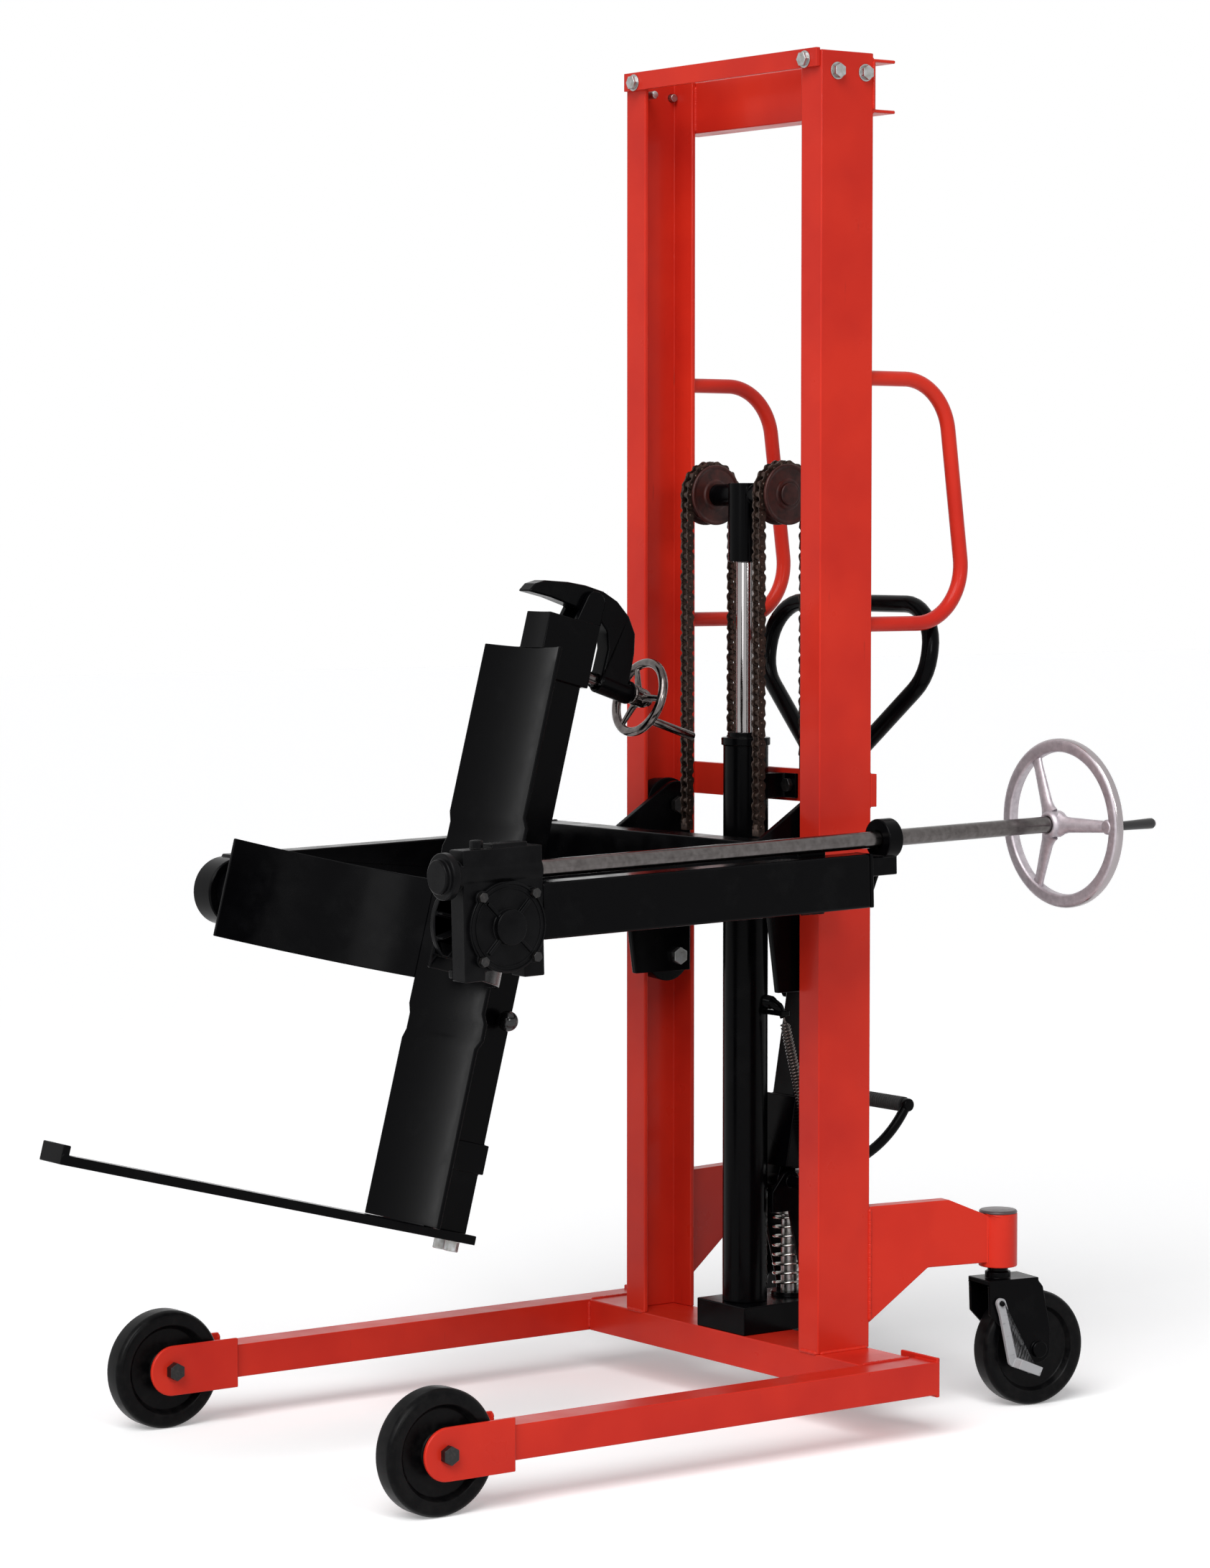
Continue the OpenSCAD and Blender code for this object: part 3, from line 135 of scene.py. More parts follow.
def srgb(text):
    """A hex colour as a photograph shows it, turned to the linear values that a shader takes."""
    out = []
    for i in (1, 3, 5):
        c = int(text[i : i + 2], 16) / 255
        out.append(c / 12.92 if c <= 0.04045 else ((c + 0.055) / 1.055) ** 2.4)
    return (*out, 1.0)


def fill(tree, node, inputs):
    """Links or sets the inputs of a node."""
    for key, value in inputs.items():
        if isinstance(value, bpy.types.NodeSocket):
            tree.links.new(value, node.inputs[key])
        else:
            node.inputs[key].default_value = value


def add_node(tree, kind, settings=None, inputs=None):
    """Adds one node, sets its properties, and fills or links its inputs."""
    made = tree.nodes.new(kind)
    for key, value in (settings or {}).items():
        setattr(made, key, value)
    fill(tree, made, inputs or {})
    return made


def arithmetic(tree, operation, first, second):
    """One number out of two."""
    return add_node(tree, "ShaderNodeMath", {"operation": operation}, {0: first, 1: second}).outputs[0]


class Coat:
    """A material while its nodes are laid: a principled shader, and noise in object coordinates."""

    def __init__(self, name):
        self.material = bpy.data.materials.new(name)
        self.material.use_nodes = True
        self.tree = self.material.node_tree
        self.tree.nodes.clear()
        self.shader = add_node(self.tree, "ShaderNodeBsdfPrincipled")
        add_node(self.tree, "ShaderNodeOutputMaterial", inputs={"Surface": self.shader.outputs["BSDF"]})
        self.place = add_node(self.tree, "ShaderNodeTexCoord").outputs["Object"]

    def fill(self, inputs):
        """Links or sets the inputs of the shader."""
        fill(self.tree, self.shader, inputs)

    def grain(self, size_mm, detail, rough=0.5, place=None):
        """Noise whose features are about size_mm across."""
        return add_node(self.tree, "ShaderNodeTexNoise", inputs={
            "Vector": place or self.place, "Scale": 1 / (size_mm * MM),
            "Detail": detail, "Roughness": rough}).outputs["Fac"]

    def streaks(self, counts, detail, rough=0.5):
        """Noise with its own count of features per metre along each axis."""
        spread = add_node(self.tree, "ShaderNodeMapping", inputs={"Vector": self.place, "Scale": counts})
        return self.grain(1 / MM, detail, rough, spread.outputs["Vector"])

    def ramp(self, value, low, high, low_out=0.0, high_out=1.0):
        """Maps low..high of a value to low_out..high_out, and holds it outside."""
        return add_node(self.tree, "ShaderNodeMapRange", inputs={
            "Value": value, "From Min": low, "From Max": high,
            "To Min": low_out, "To Max": high_out}).outputs["Result"]

    def patches(self, size_mm, detail, low, high, low_out=0.0, high_out=1.0, rough=0.5):
        """Noise turned to patches of two values, with soft borders."""
        return self.ramp(self.grain(size_mm, detail, rough), low, high, low_out, high_out)

    def mixed(self, share, first, second):
        """One colour over another by a share. A colour is a hex text, linear values or a socket."""
        first, second = (srgb(c) if isinstance(c, str) else c for c in (first, second))
        made = add_node(self.tree, "ShaderNodeMix", {"data_type": "RGBA"}, {0: share, 6: first, 7: second})
        return made.outputs[2]

    def colour(self, share, first, second):
        """Colours the shader with one colour over another by a share."""
        self.fill({"Base Color": self.mixed(share, first, second)})

    def relief(self, height, depth_mm, strength):
        """Adds a bump of a real depth, the last step of a finish."""
        made = add_node(self.tree, "ShaderNodeBump", inputs={
            "Height": height, "Distance": depth_mm * MM, "Strength": strength})
        self.fill({"Normal": made.outputs["Normal"]})
        return self.material


# Finishes


def sprayed_enamel(colour, deep):
    # Alkyd gloss enamel, sprayed over welded steel: a wet shine with a faint orange peel of about 4 mm,
    # thinner and darker paint here and there, and roller and handling scuffs that run up and down.
    coat = Coat("red_gloss_enamel")
    cloud = coat.patches(170, 3, 0.35, 0.7)
    scuff = coat.ramp(coat.streaks((90, 90, 9), 4, 0.6), 0.69, 0.75, 0.0, 0.4)
    coat.colour(scuff, coat.mixed(cloud, colour, deep), "#8A221B")
    coat.fill({"Roughness": coat.patches(60, 4, 0.3, 0.75, 0.27, 0.4),
               "Specular IOR Level": 0.12, "Coat Weight": 0.05, "Coat Roughness": 0.08})
    return coat.relief(coat.grain(4, 1), 0.05, 0.35)


def black_enamel(colour):
    # Black gloss enamel over plate and tube: nearly no light comes back but for tight highlights, with an
    # orange peel of about 5 mm and dull rubbed spots where drums and hands touch.
    coat = Coat("black_gloss_enamel")
    coat.colour(coat.patches(60, 5, 0.55, 0.8, rough=0.6), colour, "#0B0B0C")
    coat.fill({"Roughness": coat.patches(35, 4, 0.3, 0.75, 0.16, 0.3), "Specular IOR Level": 0.05})
    return coat.relief(coat.grain(5, 2), 0.06, 0.4)


def black_oxide_steel():
    # Blackened bolts: a dark oily skin on steel, rubbed brown-grey at the corners that spanners touch.
    coat = Coat("black_oxide_steel")
    coat.colour(coat.patches(4, 4, 0.5, 0.8), "#121111", "#2E2A28")
    coat.fill({"Metallic": 0.3, "Roughness": 0.36})
    return coat.relief(coat.grain(0.8, 2), 0.02, 0.3)


def painted_casting(colour):
    # Sand-cast iron under one coat of semi-gloss black: the sand's grain of about 1.5 mm shows through.
    # The grain is drawn a little coarser than real so that it shows.
    coat = Coat("painted_casting")
    coat.colour(coat.patches(40, 4, 0.3, 0.75), colour, "#101011")
    coat.fill({"Roughness": coat.patches(12, 4, 0.3, 0.7, 0.26, 0.42), "Specular IOR Level": 0.06})
    return coat.relief(coat.grain(2.2, 5, 0.65), 0.22, 0.6)


def zinc_plated_steel():
    # Zinc-plated cold-headed steel: bright grey with a cloudy bloom and a trace of yellow passivation.
    coat = Coat("zinc_plated_steel")
    coat.colour(coat.patches(9, 4, 0.3, 0.75), "#B4B6B8", "#8F8C84")
    coat.fill({"Roughness": coat.patches(3, 3, 0.3, 0.7, 0.26, 0.42), "Metallic": 1.0})
    return coat.relief(coat.grain(0.9, 2), 0.02, 0.3)


def ground_hard_chrome():
    # Hard chrome over a ground rod: a mirror along the rod, broken by fine grinding rings 0.7 mm apart,
    # drawn coarser than real so that they show.
    coat = Coat("ground_hard_chrome")
    rings = coat.streaks((3, 3, 1400), 2)
    # The chrome's grey is set darker than chrome: painted reflection of dark surroundings.
    coat.fill({"Roughness": coat.ramp(rings, 0.3, 0.7, 0.07, 0.16),
               "Base Color": srgb("#9A9797"), "Metallic": 1.0})
    return coat.relief(rings, 0.01, 0.2)


def drawn_bright_steel(name, colour, dulled, along):
    # Cold-drawn bar: grey and bright, with hair lines drawn along its length.
    coat = Coat(name)
    counts = [900, 900, 900]
    counts[along] = 12
    lines = coat.streaks(counts, 3)
    coat.colour(coat.patches(9, 3, 0.3, 0.8), colour, dulled)
    coat.fill({"Roughness": coat.ramp(lines, 0.3, 0.7, 0.15, 0.27), "Metallic": 1.0})
    return coat.relief(lines, 0.02, 0.25)


def oiled_chain_steel():
    # Heat-treated chain plates, brown from old oil: dark films gather in clouds, and rubbed spots shine.
    coat = Coat("oiled_chain_steel")
    film = coat.patches(7, 5, 0.38, 0.66, rough=0.65)
    coat.colour(film, "#4A3931", "#1E1512")
    coat.fill({"Roughness": coat.ramp(film, 0.0, 1.0, 0.3, 0.55), "Metallic": 0.75})
    return coat.relief(coat.grain(1.1, 3), 0.04, 0.4)


def primed_iron():
    # Turned cast iron in dark red primer, greasy and browned near the chain.
    coat = Coat("primed_iron")
    cloud = coat.patches(14, 5, 0.35, 0.7, rough=0.6)
    coat.colour(cloud, "#3C1712", "#1E0D0B")
    coat.fill({"Roughness": coat.ramp(cloud, 0.0, 1.0, 0.36, 0.55), "Specular IOR Level": 0.25})
    return coat.relief(coat.grain(1.8, 4), 0.08, 0.5)


def sand_cast_aluminium():
    # Sand-cast aluminium: pale and frosty, with the sand's pits of about 1.2 mm, drawn coarser than real.
    coat = Coat("sand_cast_aluminium")
    coat.colour(coat.patches(8, 4, 0.3, 0.75), "#BDB6BB", "#A59DA3")
    coat.fill({"Roughness": coat.patches(3, 4, 0.3, 0.7, 0.38, 0.56), "Metallic": 0.8})
    return coat.relief(coat.grain(1.8, 5, 0.7), 0.14, 0.5)


def polished_aluminium():
    # The handwheel's outer face, turned and buffed: it mirrors the room, with fine buffing rings.
    coat = Coat("polished_aluminium")
    rings = coat.streaks((30, 900, 30), 3)
    coat.fill({"Roughness": coat.ramp(rings, 0.3, 0.7, 0.12, 0.24),
               "Base Color": srgb("#A49D9F"), "Metallic": 1.0})
    return coat.relief(rings, 0.01, 0.2)


def chromed_casting():
    # The small clamp wheel and its rod: decorative chrome over cast iron, mirror-like. Its dark grey colour
    # is painted reflection, standing in for the dark surroundings that the chrome mirrors.
    coat = Coat("chromed_casting")
    coat.colour(coat.patches(12, 4, 0.35, 0.75), "#6F6967", "#4A4443")
    coat.fill({"Roughness": coat.patches(5, 3, 0.3, 0.7, 0.1, 0.22), "Metallic": 1.0})
    return coat.relief(coat.grain(3, 3), 0.03, 0.3)


def moulded_nylon():
    # Black cast nylon wheel: satin, slightly scuffed on the tread, with a faint moulding ripple.
    coat = Coat("moulded_nylon")
    scuff = coat.patches(16, 6, 0.45, 0.75, rough=0.65)
    coat.colour(scuff, "#060607", "#131212")
    coat.fill({"Roughness": coat.ramp(scuff, 0.0, 1.0, 0.28, 0.48), "Specular IOR Level": 0.07})
    return coat.relief(coat.grain(2.5, 4), 0.06, 0.4)


def phenolic_knob():
    # Compression-moulded phenolic: black, glassy, with a long soft reflection.
    coat = Coat("phenolic_knob")
    coat.fill({"Base Color": srgb("#0B0B0C"), "Roughness": coat.patches(20, 3, 0.3, 0.7, 0.14, 0.24)})
    return coat.relief(coat.grain(5, 2), 0.02, 0.2)


def ribbed_rubber():
    # Extruded black rubber sleeve: dull, dusty in its grooves.
    coat = Coat("ribbed_rubber")
    coat.colour(coat.patches(6, 5, 0.4, 0.8), "#151516", "#302F2E")
    coat.fill({"Roughness": 0.72})
    return coat.relief(coat.grain(1.2, 3), 0.05, 0.5)


def cast_tin_bronze():
    # Machined tin bronze of the worm wheel: warm and satin, with tool marks.
    coat = Coat("cast_tin_bronze")
    coat.colour(coat.patches(10, 4, 0.3, 0.75), "#B08A45", "#7C5C2A")
    coat.fill({"Metallic": 1.0, "Roughness": 0.38})
    return coat.relief(coat.grain(0.8, 2), 0.02, 0.3)


def grey_hammered_enamel(name, colour, worn):
    # Grey stove enamel on the brake levers and kingpin caps, scratched by boots.
    coat = Coat(name)
    scratch = coat.ramp(coat.streaks((400, 60, 400), 4), 0.6, 0.75)
    coat.colour(scratch, colour, worn)
    coat.fill({"Roughness": coat.ramp(scratch, 0.0, 1.0, 0.3, 0.5), "Specular IOR Level": 0.25})
    return coat.relief(coat.grain(2.5, 3), 0.05, 0.4)


FINISHES = {}


def finish(slot):
    """The finish of one of the record's material slots, made once."""
    if slot not in FINISHES:
        look = bpy.context.scene.tipper_finish
        makers = {
            "red_paint": lambda: sprayed_enamel((*look.frame_red, 1), (*look.frame_red_deep, 1)),
            "black_paint": lambda: black_enamel((*look.black, 1)),
            "black_casting": lambda: painted_casting((*look.black, 1)),
            "bright_steel": zinc_plated_steel,
            "chrome_rod": ground_hard_chrome,
            "chain_steel": oiled_chain_steel,
            "sheave_iron": primed_iron,
            "cast_aluminium": sand_cast_aluminium,
            "wheel_nylon": moulded_nylon,
            "knob_plastic": phenolic_knob,
            "grip_rubber": ribbed_rubber,
            "gear_bronze": cast_tin_bronze,
            "black_bolt": black_oxide_steel,
            "polished_rim": polished_aluminium,
            "chromed_wheel": chromed_casting,
            "grey_paint": lambda: grey_hammered_enamel("grey_stove_enamel", "#9C9D9F", "#6A6B6D"),
            # The kingpin caps get a darker copy of the grey enamel: partly their own darker tone, partly
            # painted shade that offsets the strong overhead light on their up-facing tops.
            "cap_paint": lambda: grey_hammered_enamel("cap_enamel_painted_shade", "#4A4041", "#352D2E"),
            # The shaft steel's greys are set darker than bright bar: painted reflection of the dark
            # surroundings that the bar mirrors.
            "shaft_steel": lambda: drawn_bright_steel("drawn_bright_bar", "#676362", "#4C4847", 1),
            "spring_steel": lambda: drawn_bright_steel("zinced_spring_wire", "#C2C1BD", "#A9A7A2", 2),
            "oiled_spring": lambda: drawn_bright_steel("oiled_spring_wire", "#6B625E", "#453E3B", 2),
        }
        FINISHES[slot] = makers[slot]()
    return FINISHES[slot]


# Meshes


def slot_of(node):
    for entry in frame["record"]["subparts"]:
        if entry["node"] == node:
            return entry["material_slot"]
    raise RuntimeError(f"no subpart is named {node}")


def body_of(node):
    return frame["nodes"][node]["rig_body"]


def smooth_shade(mesh, angle):
    for face in mesh.polygons:
        face.use_smooth = True
    mesh.set_sharp_from_angle(angle=math.radians(angle))


def keep_modified(piece):
    """Applies the modifiers of a piece to its mesh."""
    bpy.context.view_layer.update()
    seen = piece.evaluated_get(bpy.context.evaluated_depsgraph_get())
    mesh = bpy.data.meshes.new_from_object(seen)
    piece.modifiers.clear()
    old = piece.data
    piece.data = mesh
    bpy.data.meshes.remove(old)
    mesh.name = piece.name


def piece_from(name, bm, body, slot, nodes=(), look=None, angle=35, scale=MM):
    """Turns a bmesh in millimetres into a piece that rides on a body."""
    if scale != 1:
        bmesh.ops.scale(bm, vec=(scale, scale, scale), verts=bm.verts)
    bmesh.ops.recalc_face_normals(bm, faces=bm.faces)
    mesh = bpy.data.meshes.new(name)
    bm.to_mesh(mesh)
    bm.free()
    smooth_shade(mesh, angle)
    piece = bpy.data.objects.new(name, mesh)
    bpy.context.scene.collection.objects.link(piece)
    mesh.materials.append(finish(look or slot))
    if body:
        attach(piece, body)
    if nodes:
        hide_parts(*nodes)
    return piece


def soften(piece, radius_mm, angle=30, segments=2):
    """Rounds every edge of a piece by a real radius and keeps its flats flat."""
    bevel = piece.modifiers.new("edges", "BEVEL")
    bevel.width = radius_mm * MM
    bevel.segments = segments
    bevel.limit_method = "ANGLE"
    bevel.angle_limit = math.radians(angle)
    bevel.use_clamp_overlap = False
    flat = piece.modifiers.new("flats", "WEIGHTED_NORMAL")
    flat.keep_sharp = True
    keep_modified(piece)


def rounded(node, radius_mm, name, look=None, angle=30, segments=2):
    """A piece with the solid's shape and broken edges, in place of its CAD node."""
    bm = bmesh.new()
    bm.from_mesh(frame["nodes"][node].data)
    bmesh.ops.remove_doubles(bm, verts=bm.verts, dist=2e-5)
    bmesh.ops.dissolve_limit(bm, angle_limit=math.radians(1), verts=bm.verts, edges=bm.edges)
    piece = piece_from(name, bm, body_of(node), slot_of(node), (node,), look, 40, 1)
    soften(piece, radius_mm, angle, segments)
    return piece


def repaint(piece, look, test):
    """Gives another finish to the faces whose middle, in millimetres, passes a test."""
    index = len(piece.data.materials)
    piece.data.materials.append(finish(look))
    for face in piece.data.polygons:
        if test(face.center / MM):
            face.material_index = index


def around(count):
    """The angles of a full turn in even steps."""
    return [2 * math.pi * k / count for k in range(count)]


def arc(x, y, radius, start, sweep, steps):
    """Points on a round stretch of an outline, with its angles in degrees."""
    angles = [math.radians(start + k * sweep / steps) for k in range(steps + 1)]
    return [(x + radius * math.cos(a), y + radius * math.sin(a)) for a in angles]


def band(bm, here, after):
    """Adds the faces between two rings of as many points."""
    for k in range(len(here)):
        m = (k + 1) % len(here)
        bm.faces.new([here[k], here[m], after[m], after[k]])


def lids(bm, rings):
    """Closes a tube of rings at both ends."""
    bm.faces.new(list(reversed(rings[0])))
    bm.faces.new(rings[-1])


def turned(bm, profile, place, segments):
    """Adds a lathe form: a closed [radius, height] outline turned about the Z axis of place."""
    rings = [[bm.verts.new(place @ Vector((r * math.cos(a), r * math.sin(a), h))) for r, h in profile]
             for a in around(segments)]
    n = len(profile)
    for here, after in zip(rings, rings[1:] + rings[:1]):
        for k in range(n):
            m = (k + 1) % n
            if profile[k][0] >= 1e-6 or profile[m][0] >= 1e-6:
                bm.faces.new([here[k], here[m], after[m], after[k]])
    bmesh.ops.remove_doubles(bm, verts=bm.verts, dist=1e-4)


def eased(profile, radius, steps=3):
    """Rounds the corners of a closed outline by a radius."""
    out = []
    n = len(profile)
    for i in range(n):
        a, p, b = Vector(profile[i - 1]), Vector(profile[i]), Vector(profile[(i + 1) % n])
        u, v = a - p, b - p
        if u.length < 1e-6 or v.length < 1e-6 or (p.x < 1e-6):
            out.append(tuple(p))
            continue
        cut = min(radius, u.length * 0.45, v.length * 0.45)
        s, e = p + u.normalized() * cut, p + v.normalized() * cut
        for k in range(steps + 1):
            t = k / steps
            q = (1 - t) ** 2 * s + 2 * t * (1 - t) * p + t * t * e
            out.append((q.x, q.y))
    return out


def swept(bm, path, radius, sides, closed=False, up=None):
    """Adds a round tube along points. radius is a number, or one number for each point."""
    n = len(path)
    points = [Vector(p) for p in path]
    radii = [radius] * n if isinstance(radius, (int, float)) else radius
    rings = []
    u = None
    for i, p in enumerate(points):
        a = points[i - 1] if i or closed else p
        b = points[(i + 1) % n] if i < n - 1 or closed else p
        t = b - a
        if (b - p).length and (p - a).length:
            t = (b - p).normalized() + (p - a).normalized()
        t.normalize()
        if up is not None:
            u = Vector(up)
        elif u is None:
            u = Vector((1, 0, 0)) if abs(t.x) < 0.8 else Vector((0, 1, 0))
        u = (u - t * u.dot(t)).normalized()
        v = t.cross(u)
        rings.append([bm.verts.new(p + radii[i] * (math.cos(k) * u + math.sin(k) * v))
                      for k in around(sides)])
    for here, after in zip(rings, rings[1:] + rings[:1] if closed else rings[1:]):
        band(bm, here, after)
    if not closed:
        lids(bm, rings)


def bent(points, radius, steps):
    """A path with its corners turned to arcs of one radius."""
    out = [Vector(points[0])]
    for i in range(1, len(points) - 1):
        a, p, b = Vector(points[i - 1]), Vector(points[i]), Vector(points[i + 1])
        u, v = (a - p).normalized(), (b - p).normalized()
        half = u.angle(v) / 2
        cut = radius / math.tan(half)
        middle = p + (u + v).normalized() * (radius / math.sin(half))
        s, e = p + u * cut - middle, p + v * cut - middle
        for k in range(steps + 1):
            out.append(middle + s.slerp(e, k / steps).normalized() * radius)
    out.append(Vector(points[-1]))
    return out


def slab(bm, outline, thickness, place):
    """Adds a plate: an outline in the plane of place, thickened along its Z axis both ways by half."""
    low = [bm.verts.new(place @ Vector((x, y, -thickness / 2))) for x, y in outline]
    high = [bm.verts.new(place @ Vector((x, y, thickness / 2))) for x, y in outline]
    lids(bm, (low, high))
    band(bm, low, high)


def axis_place(at, z_axis):
    """A frame at a point with its Z axis along a direction, and X near the part's X where it can be."""
    z = Vector(z_axis).normalized()
    x = Vector((1, 0, 0)) - z * z.x
    if x.length < 1e-6:
        x = Vector((0, 1, 0)) - z * z.y
    x.normalize()
    y = z.cross(x)
    turn = Matrix((x, y, z)).transposed().to_4x4()
    return Matrix.Translation(at) @ turn


def weld(bm, start, end, width):
    """Adds a weld bead between two points: overlapping ripples, drawn as one beaded tube."""
    a, b = Vector(start), Vector(end)
    length = (b - a).length
    count = max(2, int(length / WELD_RIPPLE))
    path, radii = [], []
    for i in range(count * 3 + 1):
        t = i / (count * 3)
        edge = min(1.0, min(t, 1 - t) * length / (width * 0.6) + 0.25)
        wobble = 0.07 * math.sin(i * 1.7 + length) + 0.05 * math.sin(i * 0.61 + a.z)
        path.append(a.lerp(b, t))
        radii.append(width / 2 * edge * (0.86 + 0.14 * abs(math.sin(math.pi * i / 3)) + wobble))
    swept(bm, path, radii, 10)


# Settings


class TipperFinish(bpy.types.PropertyGroup):
    frame_red: FloatVectorProperty(
        name="Frame red", description="Colour of the frame's gloss enamel", subtype="COLOR",
        default=srgb("#CB2E1D")[:3], min=0, max=1)
    frame_red_deep: FloatVectorProperty(
        name="Frame red, thin coat", description="Colour of the enamel where its coat is thin",
        subtype="COLOR", default=srgb("#B92419")[:3], min=0, max=1)
    black: FloatVectorProperty(
        name="Black", description="Colour of the black enamel on the lift, carriage and cradle",
        subtype="COLOR", default=srgb("#030304")[:3], min=0, max=1)
    floor: FloatVectorProperty(
        name="Floor", description="Colour of the studio floor", subtype="COLOR",
        default=srgb("#FAFAFA")[:3], min=0, max=1)


class TipperSizes(bpy.types.PropertyGroup):
    steel_edge: FloatProperty(
        name="Steelwork edge",
        description="Radius of the rolled and ground edges of the frame, in millimetres",
        default=1.6, min=0.2, max=3)
    casting_edge: FloatProperty(
        name="Casting edge", description="Radius of the edges of the castings, in millimetres",
        default=1.8, min=0.2, max=3)
    weld_width: FloatProperty(
        name="Weld width", description="Width of the frame's weld beads, in millimetres",
        default=6.5, min=2, max=10)
    key_power: FloatProperty(
        name="Key light", description="Power of the strip light that draws the highlights",
        default=46, min=0, subtype="POWER")
    sun_strength: FloatProperty(
        name="Soft overhead light", description="Strength of the broad light from above and in front",
        default=2.5, min=0)
    fill_power: FloatProperty(
        name="Fill light", description="Power of the fill light", default=36, min=0, subtype="POWER")


def edge():
    return bpy.context.scene.tipper_sizes.steel_edge


def cast_edge():
    return bpy.context.scene.tipper_sizes.casting_edge


# Pieces


class TIPPER_OT_steelwork(bpy.types.Operator):
    """Rounds the edges of the legs, uprights, bars and rear arms"""

    bl_idname = "tipper.steelwork"
    bl_label = "Frame steelwork"

    def execute(self, context):
        for side in ("left", "right"):
            for node, name in (("leg", "leg_tube"), ("upright", "upright_channel"),
                               ("rear_arm", "splayed_rear_arm")):
                rounded(f"{node}_{side}", edge(), f"{name}_{side}")
        rounded("base_crossmember", edge(), "base_tube")
        rounded("top_tie_bar", 1.0, "flat_tie_bar")
        rounded("top_crossbar", edge(), "top_channel")
        rounded("mid_crossbar", 1.2, "middle_flat")
        bolts = rounded("frame_bolts", 0.5, "frame_bolt_heads")
        repaint(bolts, "black_bolt", lambda at: at.z < 1500)
        self.washers()
        return {"FINISHED"}

    def washers(self):
        ring = eased([(9.0, 0.0), (13.0, 0.0), (13.0, 1.8), (9.0, 1.8)], 0.4)
        bm = bmesh.new()
        for s in (-1, 1):
            turned(bm, ring, axis_place((s * TIE_BOLT_X, -8, TOP_BOLT_Z[0]), (0, -1, 0)), 40)
            for y in WEB_BOLT_Y:
                turned(bm, ring, axis_place((s * MAST_HALF, y, TOP_BOLT_Z[1]), (s, 0, 0)), 40)
        # The threaded end of the far front mast bolt stands well out inside its channel
        end = [(0, 0), (6.2, 0), (6.2, 20), (5.2, 22), (0, 22)]
        turned(bm, eased(end, 0.6), axis_place((-229, WEB_BOLT_Y[0], TOP_BOLT_Z[1]), (1, 0, 0)), 32)
        piece_from("top_bolt_washers", bm, "chassis", "bright_steel", angle=40)


class TIPPER_OT_push_handles(bpy.types.Operator):
    """Bends the two push handles out of round tube"""

    bl_idname = "tipper.push_handles"
    bl_label = "Push handles"

    def execute(self, context):
        top, foot = HANDLE_Z
        for side, x in (("left", HANDLE_X), ("right", -HANDLE_X)):
            bm = bmesh.new()
            corners = [(x, 100, top), (x, 262, top), (x, 310.6, foot), (x, 100, foot)]
            swept(bm, bent(corners, 88, 22), 11.5, 32, up=(1, 0, 0))
            for z in HANDLE_Z:
                bead = [(x + 12.2 * math.cos(a), 101.5, z + 12.2 * math.sin(a)) for a in around(36)]
                swept(bm, bead, [2.0 + 0.35 * (i % 2) for i in range(36)], 8, closed=True)
            piece_from(f"bent_push_handle_{side}", bm, "chassis", "red_paint",
                       (f"push_handle_{side}",), angle=50)
        return {"FINISHED"}


class TIPPER_OT_welds(bpy.types.Operator):
    """Lays weld beads along the joints of the frame and the carriage"""

    bl_idname = "tipper.welds"
    bl_label = "Welds"

    def execute(self, context):
        w = context.scene.tipper_sizes.weld_width
        bm = bmesh.new()
        for s in (1, -1):
            for z in (1986, 2066):
                weld(bm, (s * 200, MAST_BACK, z), (s * 242, MAST_BACK, z), w)
            weld(bm, (s * MAST_HALF, 100.5, 1990), (s * MAST_HALF, 100.5, 2062), w * 0.8)
            weld(bm, (s * 195.5, 100.5, 1988), (s * 195.5, 100.5, 2060), w)
            for z in MID_BAR_Z:
                weld(bm, (s * 200, MAST_BACK, z), (s * 242, MAST_BACK, z), w * 0.8)
            for y in (0.5, 99.5):
                weld(bm, (s * 198, y, 117), (s * 240, y, 117), w)
            weld(bm, (s * 243.5, 4, 117), (s * 243.5, 96, 117), w)
            for z in (67, 116):
                weld(bm, (s * 343.5, 4, z), (s * 343.5, 96, z), w * 0.9)
            weld(bm, (s * 343.5, -0.5, 70), (s * 343.5, -0.5, 113), w)
            for x, share in ((MAST_HALF, 1.0), (218, 0.8)):
                weld(bm, (s * x, MAST_BACK, 156), (s * x, MAST_BACK, 330), w * share)
            for x in (394.2, 343.8):
                weld(bm, (s * x, -669, 53), (s * x, -669, 126), w * 0.8)
        piece_from("frame_welds", bm, "chassis", "red_paint", angle=60)
        bm = bmesh.new()
        for s in (1, -1):
            for z in (797.5, 896.5):
                weld(bm, (s * 337.5, -113, z), (s * 337.5, -67, z), 5)
            weld(bm, (s * 337.5, -115, 800), (s * 337.5, -115, 894), 5)
            weld(bm, (s * 185.5, -64, 800), (s * 185.5, -64, 894), 5)
        piece_from("carriage_welds", bm, "carriage", "black_paint", angle=60)
        return {"FINISHED"}


